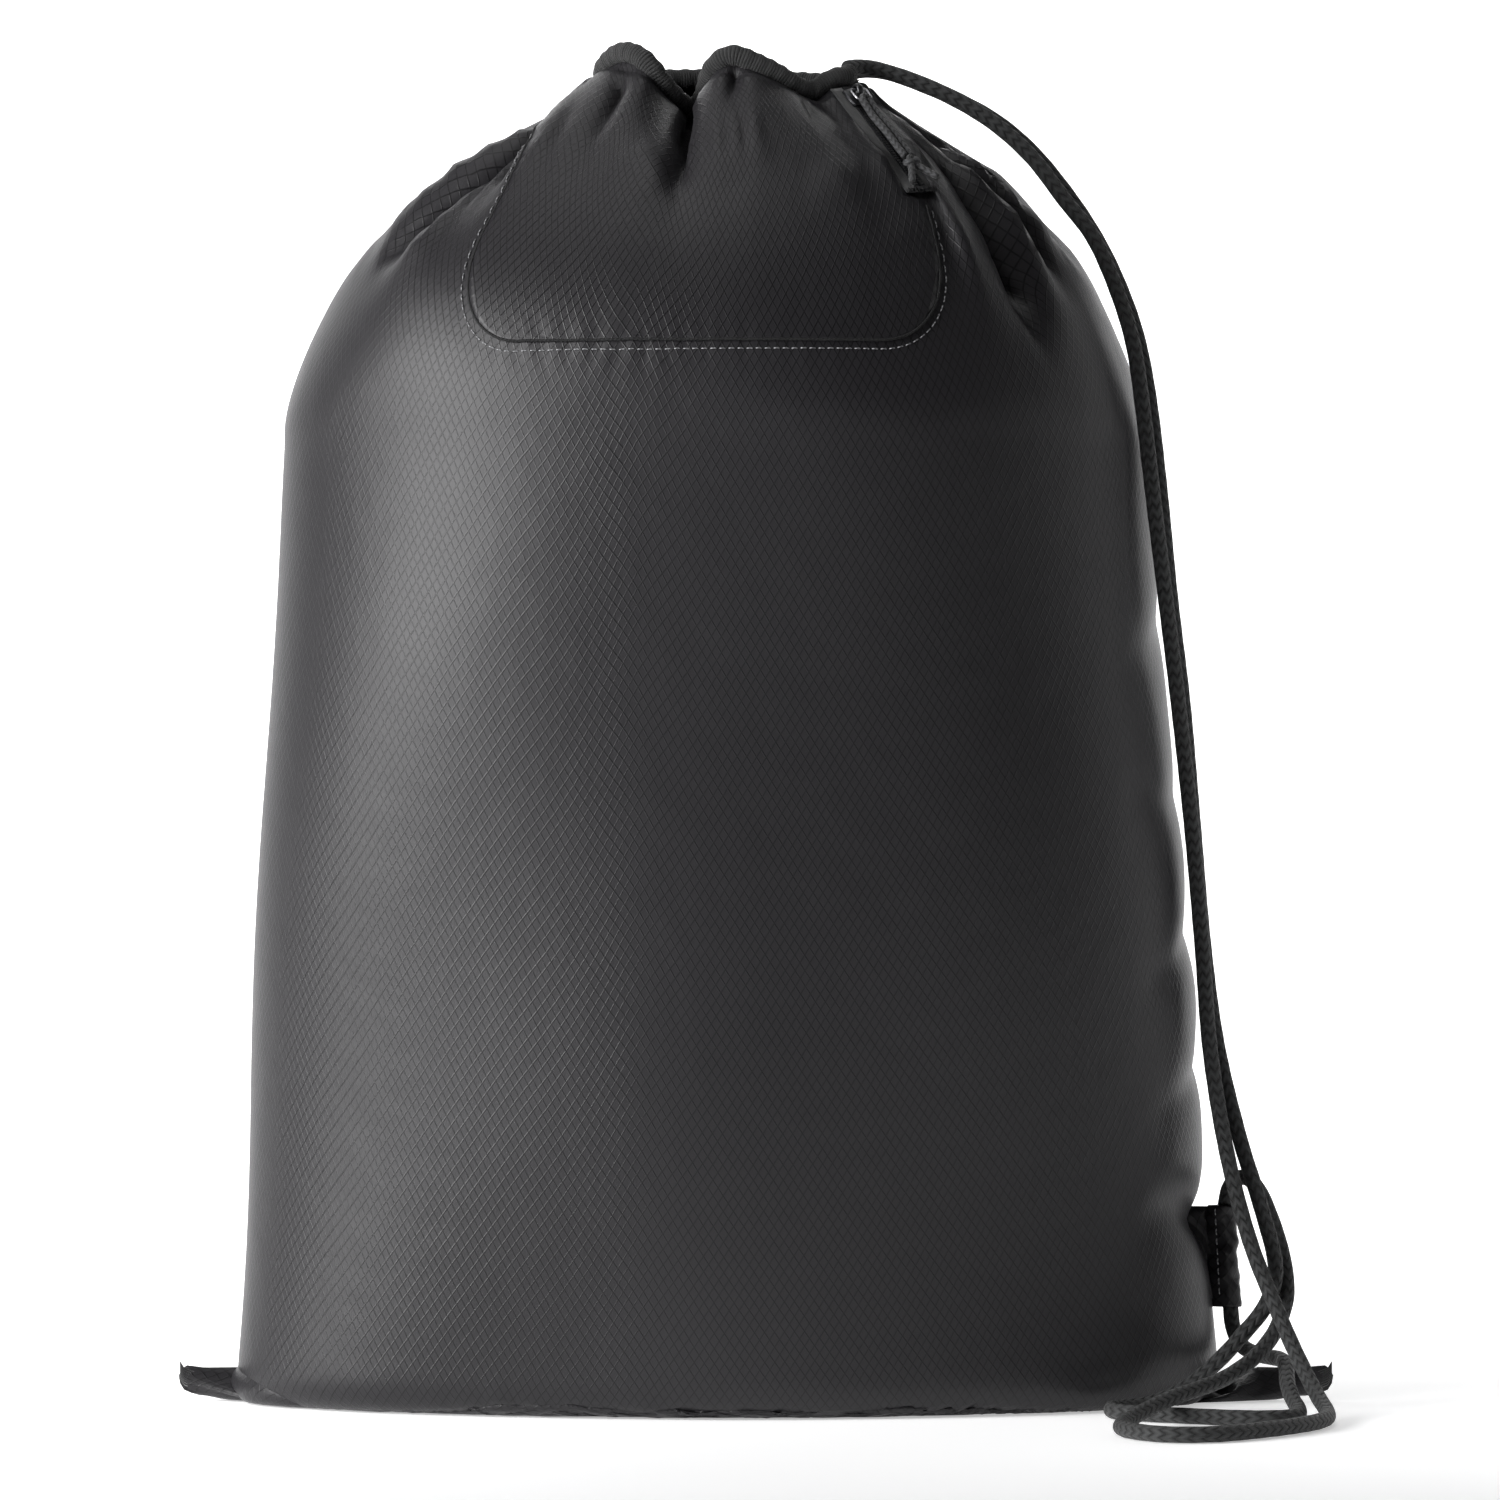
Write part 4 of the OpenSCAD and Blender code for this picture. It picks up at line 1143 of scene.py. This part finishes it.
knot_y = end + .038 + .0028
t = np.linspace(0, 2 * math.pi, 90)[:-1]
wind = 2 + np.cos(3 * t)
knot = np.column_stack([wind * np.cos(2 * t), wind * np.sin(2 * t) * .9, np.sin(3 * t) * 1.25])
knot = knot * .00078 + np.array([0, knot_y, HINGE_Z])
parts = [tube("knot", on_zip(knot), .00125, 12, closed=True)]
for side, bend in ((-1, .0012), (1, -.0006)):
    y = np.linspace(0, .0112, 12)
    rise = HINGE_Z + bend * (y / .011) ** 2
    line = np.column_stack([side * (.0008 + y * .42), knot_y + .001 + y * .93, rise])
    r = .00135 * np.concatenate([np.ones(9), [.98, .9, .7]])
    parts.append(tube("tail", on_zip(line), r, 12))
knot = join("pull_knot_braid", parts, PULL_BRAID)
place(knot, pull, "pull_knot")


# ---------------------------------------------------------------- corner tab

foot, top = np.array(ROUTE_B[-1]), np.array(ROUTE_A[-1])
axis = unit(top - foot)
tab_len = float(np.linalg.norm(top - foot))


def tab_piece():
    """A strip of cloth folded round the cord, flattened towards the bag, with a hem at the top."""
    n_round, n_up = 48, 40
    half_x, half_y, thick = .0040, .0039, .0004
    a = np.linspace(0, 2 * math.pi, n_round, endpoint=False)
    outer, inner = [], []
    for k in range(n_up):
        t = k / (n_up - 1)
        s = t * tab_len
        hem = .0004 if t > .86 else 0
        crush = .0005 * math.sin(s * 420) + .0003 * math.sin(s * 900 + 1)
        mid = foot + axis * s
        # The round towards the bag is drawn out into a flat fin that ends in the seam.
        fin = .0030 + .0012 * math.sin(t * math.pi)
        to_bag = np.clip(-np.cos(a), 0, 1)
        x = (half_x + hem) * np.cos(a) - fin * to_bag ** 3
        y = (half_y + hem) * np.sin(a) * (1 - .35 * to_bag ** 2)
        wave = crush * np.cos(2 * a + s * 160)
        for grid, less in ((outer, 0), (inner, thick)):
            rim_x = x * (1 - less / half_x) + wave * np.cos(a)
            rim_y = y * (1 - less / half_y) + wave * np.sin(a)
            grid.append(mid + np.stack([rim_x, rim_y, np.zeros_like(a)], 1))
    points = np.concatenate([np.concatenate(outer), np.concatenate(inner)])
    total = n_round * n_up
    faces, uv = [], []
    size = 2 * math.pi * half_x
    for k in range(n_up - 1):
        for i in range(n_round):
            j = (i + 1) % n_round
            p, q, r, w = k * n_round + i, k * n_round + j, (k + 1) * n_round + j, (k + 1) * n_round + i
            faces += [(p, q, r, w), (p + total, w + total, r + total, q + total)]
            quad = [(i, k), (i + 1, k), (i + 1, k + 1), (i, k + 1)]
            uv += [quad, [quad[0], quad[3], quad[2], quad[1]]]
    for k, flip in ((0, False), (n_up - 1, True)):
        for i in range(n_round):
            j = (i + 1) % n_round
            p, q = k * n_round + i, k * n_round + j
            f = (p, p + total, q + total, q)
            faces.append(f[::-1] if flip else f)
            uv.append([(i, k)] * 4)
    obj = new_mesh("tab_cloth", points, faces, mat=POCKET)
    flat = np.array([(i / n_round * size, k / (n_up - 1) * tab_len) for q in uv for i, k in q])
    obj.data.uv_layers.new(name="cloth").data.foreach_set("uv", flat.ravel())
    return obj


tab = tab_piece()
place(tab, bag, "corner_tab")

# The tab's tail runs from the fold to the side seam.
z = np.linspace(foot[2] + .003, top[2] - .0004, 12)
rows_in = []
seam = c.p[4:90, c.cols]
for zz in z:
    x_seam, y_seam = [float(np.interp(zz, seam[:, 2], seam[:, k])) for k in (0, 1)]
    x_tab = (foot + axis * (zz - foot[2]) / axis[2])[0] - .0062
    t = np.linspace(0, 1, 10)[:, None]
    rows_in.append(np.array([x_seam - .002, y_seam, zz]) * (1 - t) + np.array([x_tab, 0, zz]) * t
                   + np.array([0, 1, 0]) * .0006 * np.sin(t * 7 + zz * 300))
g = np.array(rows_in)
uv = np.stack(np.broadcast_arrays(np.linspace(0, .012, 10)[None], z[:, None]), -1)
tail = sheet_mesh("tab_tail", g + np.array([0, -.0005, 0]), g + np.array([0, .0005, 0]), uv, POCKET)
place(tail, bag)

starts = np.array([foot + axis * (.005 + k * .0038) + np.array([-.0042, -.0036, 0]) for k in range(9)])
outs = np.tile([-.45, -.9, 0], (9, 1))
sewn = capsules("tab_stitches", starts, starts + axis * .0024, outs, .00026, THREAD)
place(sewn, bag, "tab_stitching")

# ---------------------------------------------------------------- floor, light

stage_mat = Nodes("floor_white")
grain = stage_mat.noise(None, 3, 2)
stage_mat.wire(Base_Color=stage_mat.colours(grain, (.3, (.93, .93, .935)), (.7, (.95, .95, .955))))
stage_mat.set(Roughness=.9)
# The floor glows, more behind the bag than before it, so it stays pale in a dark room.
depth = stage_mat.add("ShaderNodeSeparateXYZ")
stage_mat.link(stage_mat.object_place(), depth.inputs[0])
stage_mat.wire(Emission_Strength=stage_mat.ramp(depth.outputs[1], (-.4, .16), (.4, .8)))
stage_mat.bsdf.inputs["Emission Color"].default_value = (1, 1, 1, 1)
sweep = [(4.2 + .9 * math.sin(t), .9 - .9 * math.cos(t)) for t in np.linspace(0, math.pi / 2, 16)]
prof = [(-4.5, 0), *sweep, (5.1, 4.5)]
points, faces = [], []
for y, z in prof:
    points += [(-6, y, z), (6, y, z)]
for i in range(len(prof) - 1):
    faces.append((2 * i, 2 * i + 1, 2 * i + 3, 2 * i + 2))
floor = new_mesh("floor", points, faces, mat=stage_mat.mat)


def area(name, at, aim, size, power):
    """A rectangular lamp of so many watts that faces a point."""
    lamp = bpy.data.lights.new(name, "AREA")
    lamp.shape, lamp.size, lamp.size_y = "RECTANGLE", *size
    lamp.energy = power
    obj = bpy.data.objects.new(name, lamp)
    scene.collection.objects.link(obj)
    obj.location = at
    obj.rotation_euler = (Vector(aim) - Vector(at)).to_track_quat("-Z", "Y").to_euler()


area("key_left", (-2.2, -1.2, .9), (0, 0, .25), (1.6, 1.7), 120)
area("rim_right", (2.3, .5, 1.0), (0, 0, .25), (.8, 1.6), 5)
area("top", (-.3, -.2, 2.4), (0, 0, .2), (1.6, 1.2), 9)
area("floor_wash", (0, 2.2, 2.6), (0, 3.6, .4), (3, 1), 60)
world = bpy.data.worlds.new("studio")
world.use_nodes = True
world.node_tree.nodes["Background"].inputs[0].default_value = (1, 1, 1, 1)
world.node_tree.nodes["Background"].inputs[1].default_value = .03
scene.world = world
scene.view_settings.view_transform = "Standard"
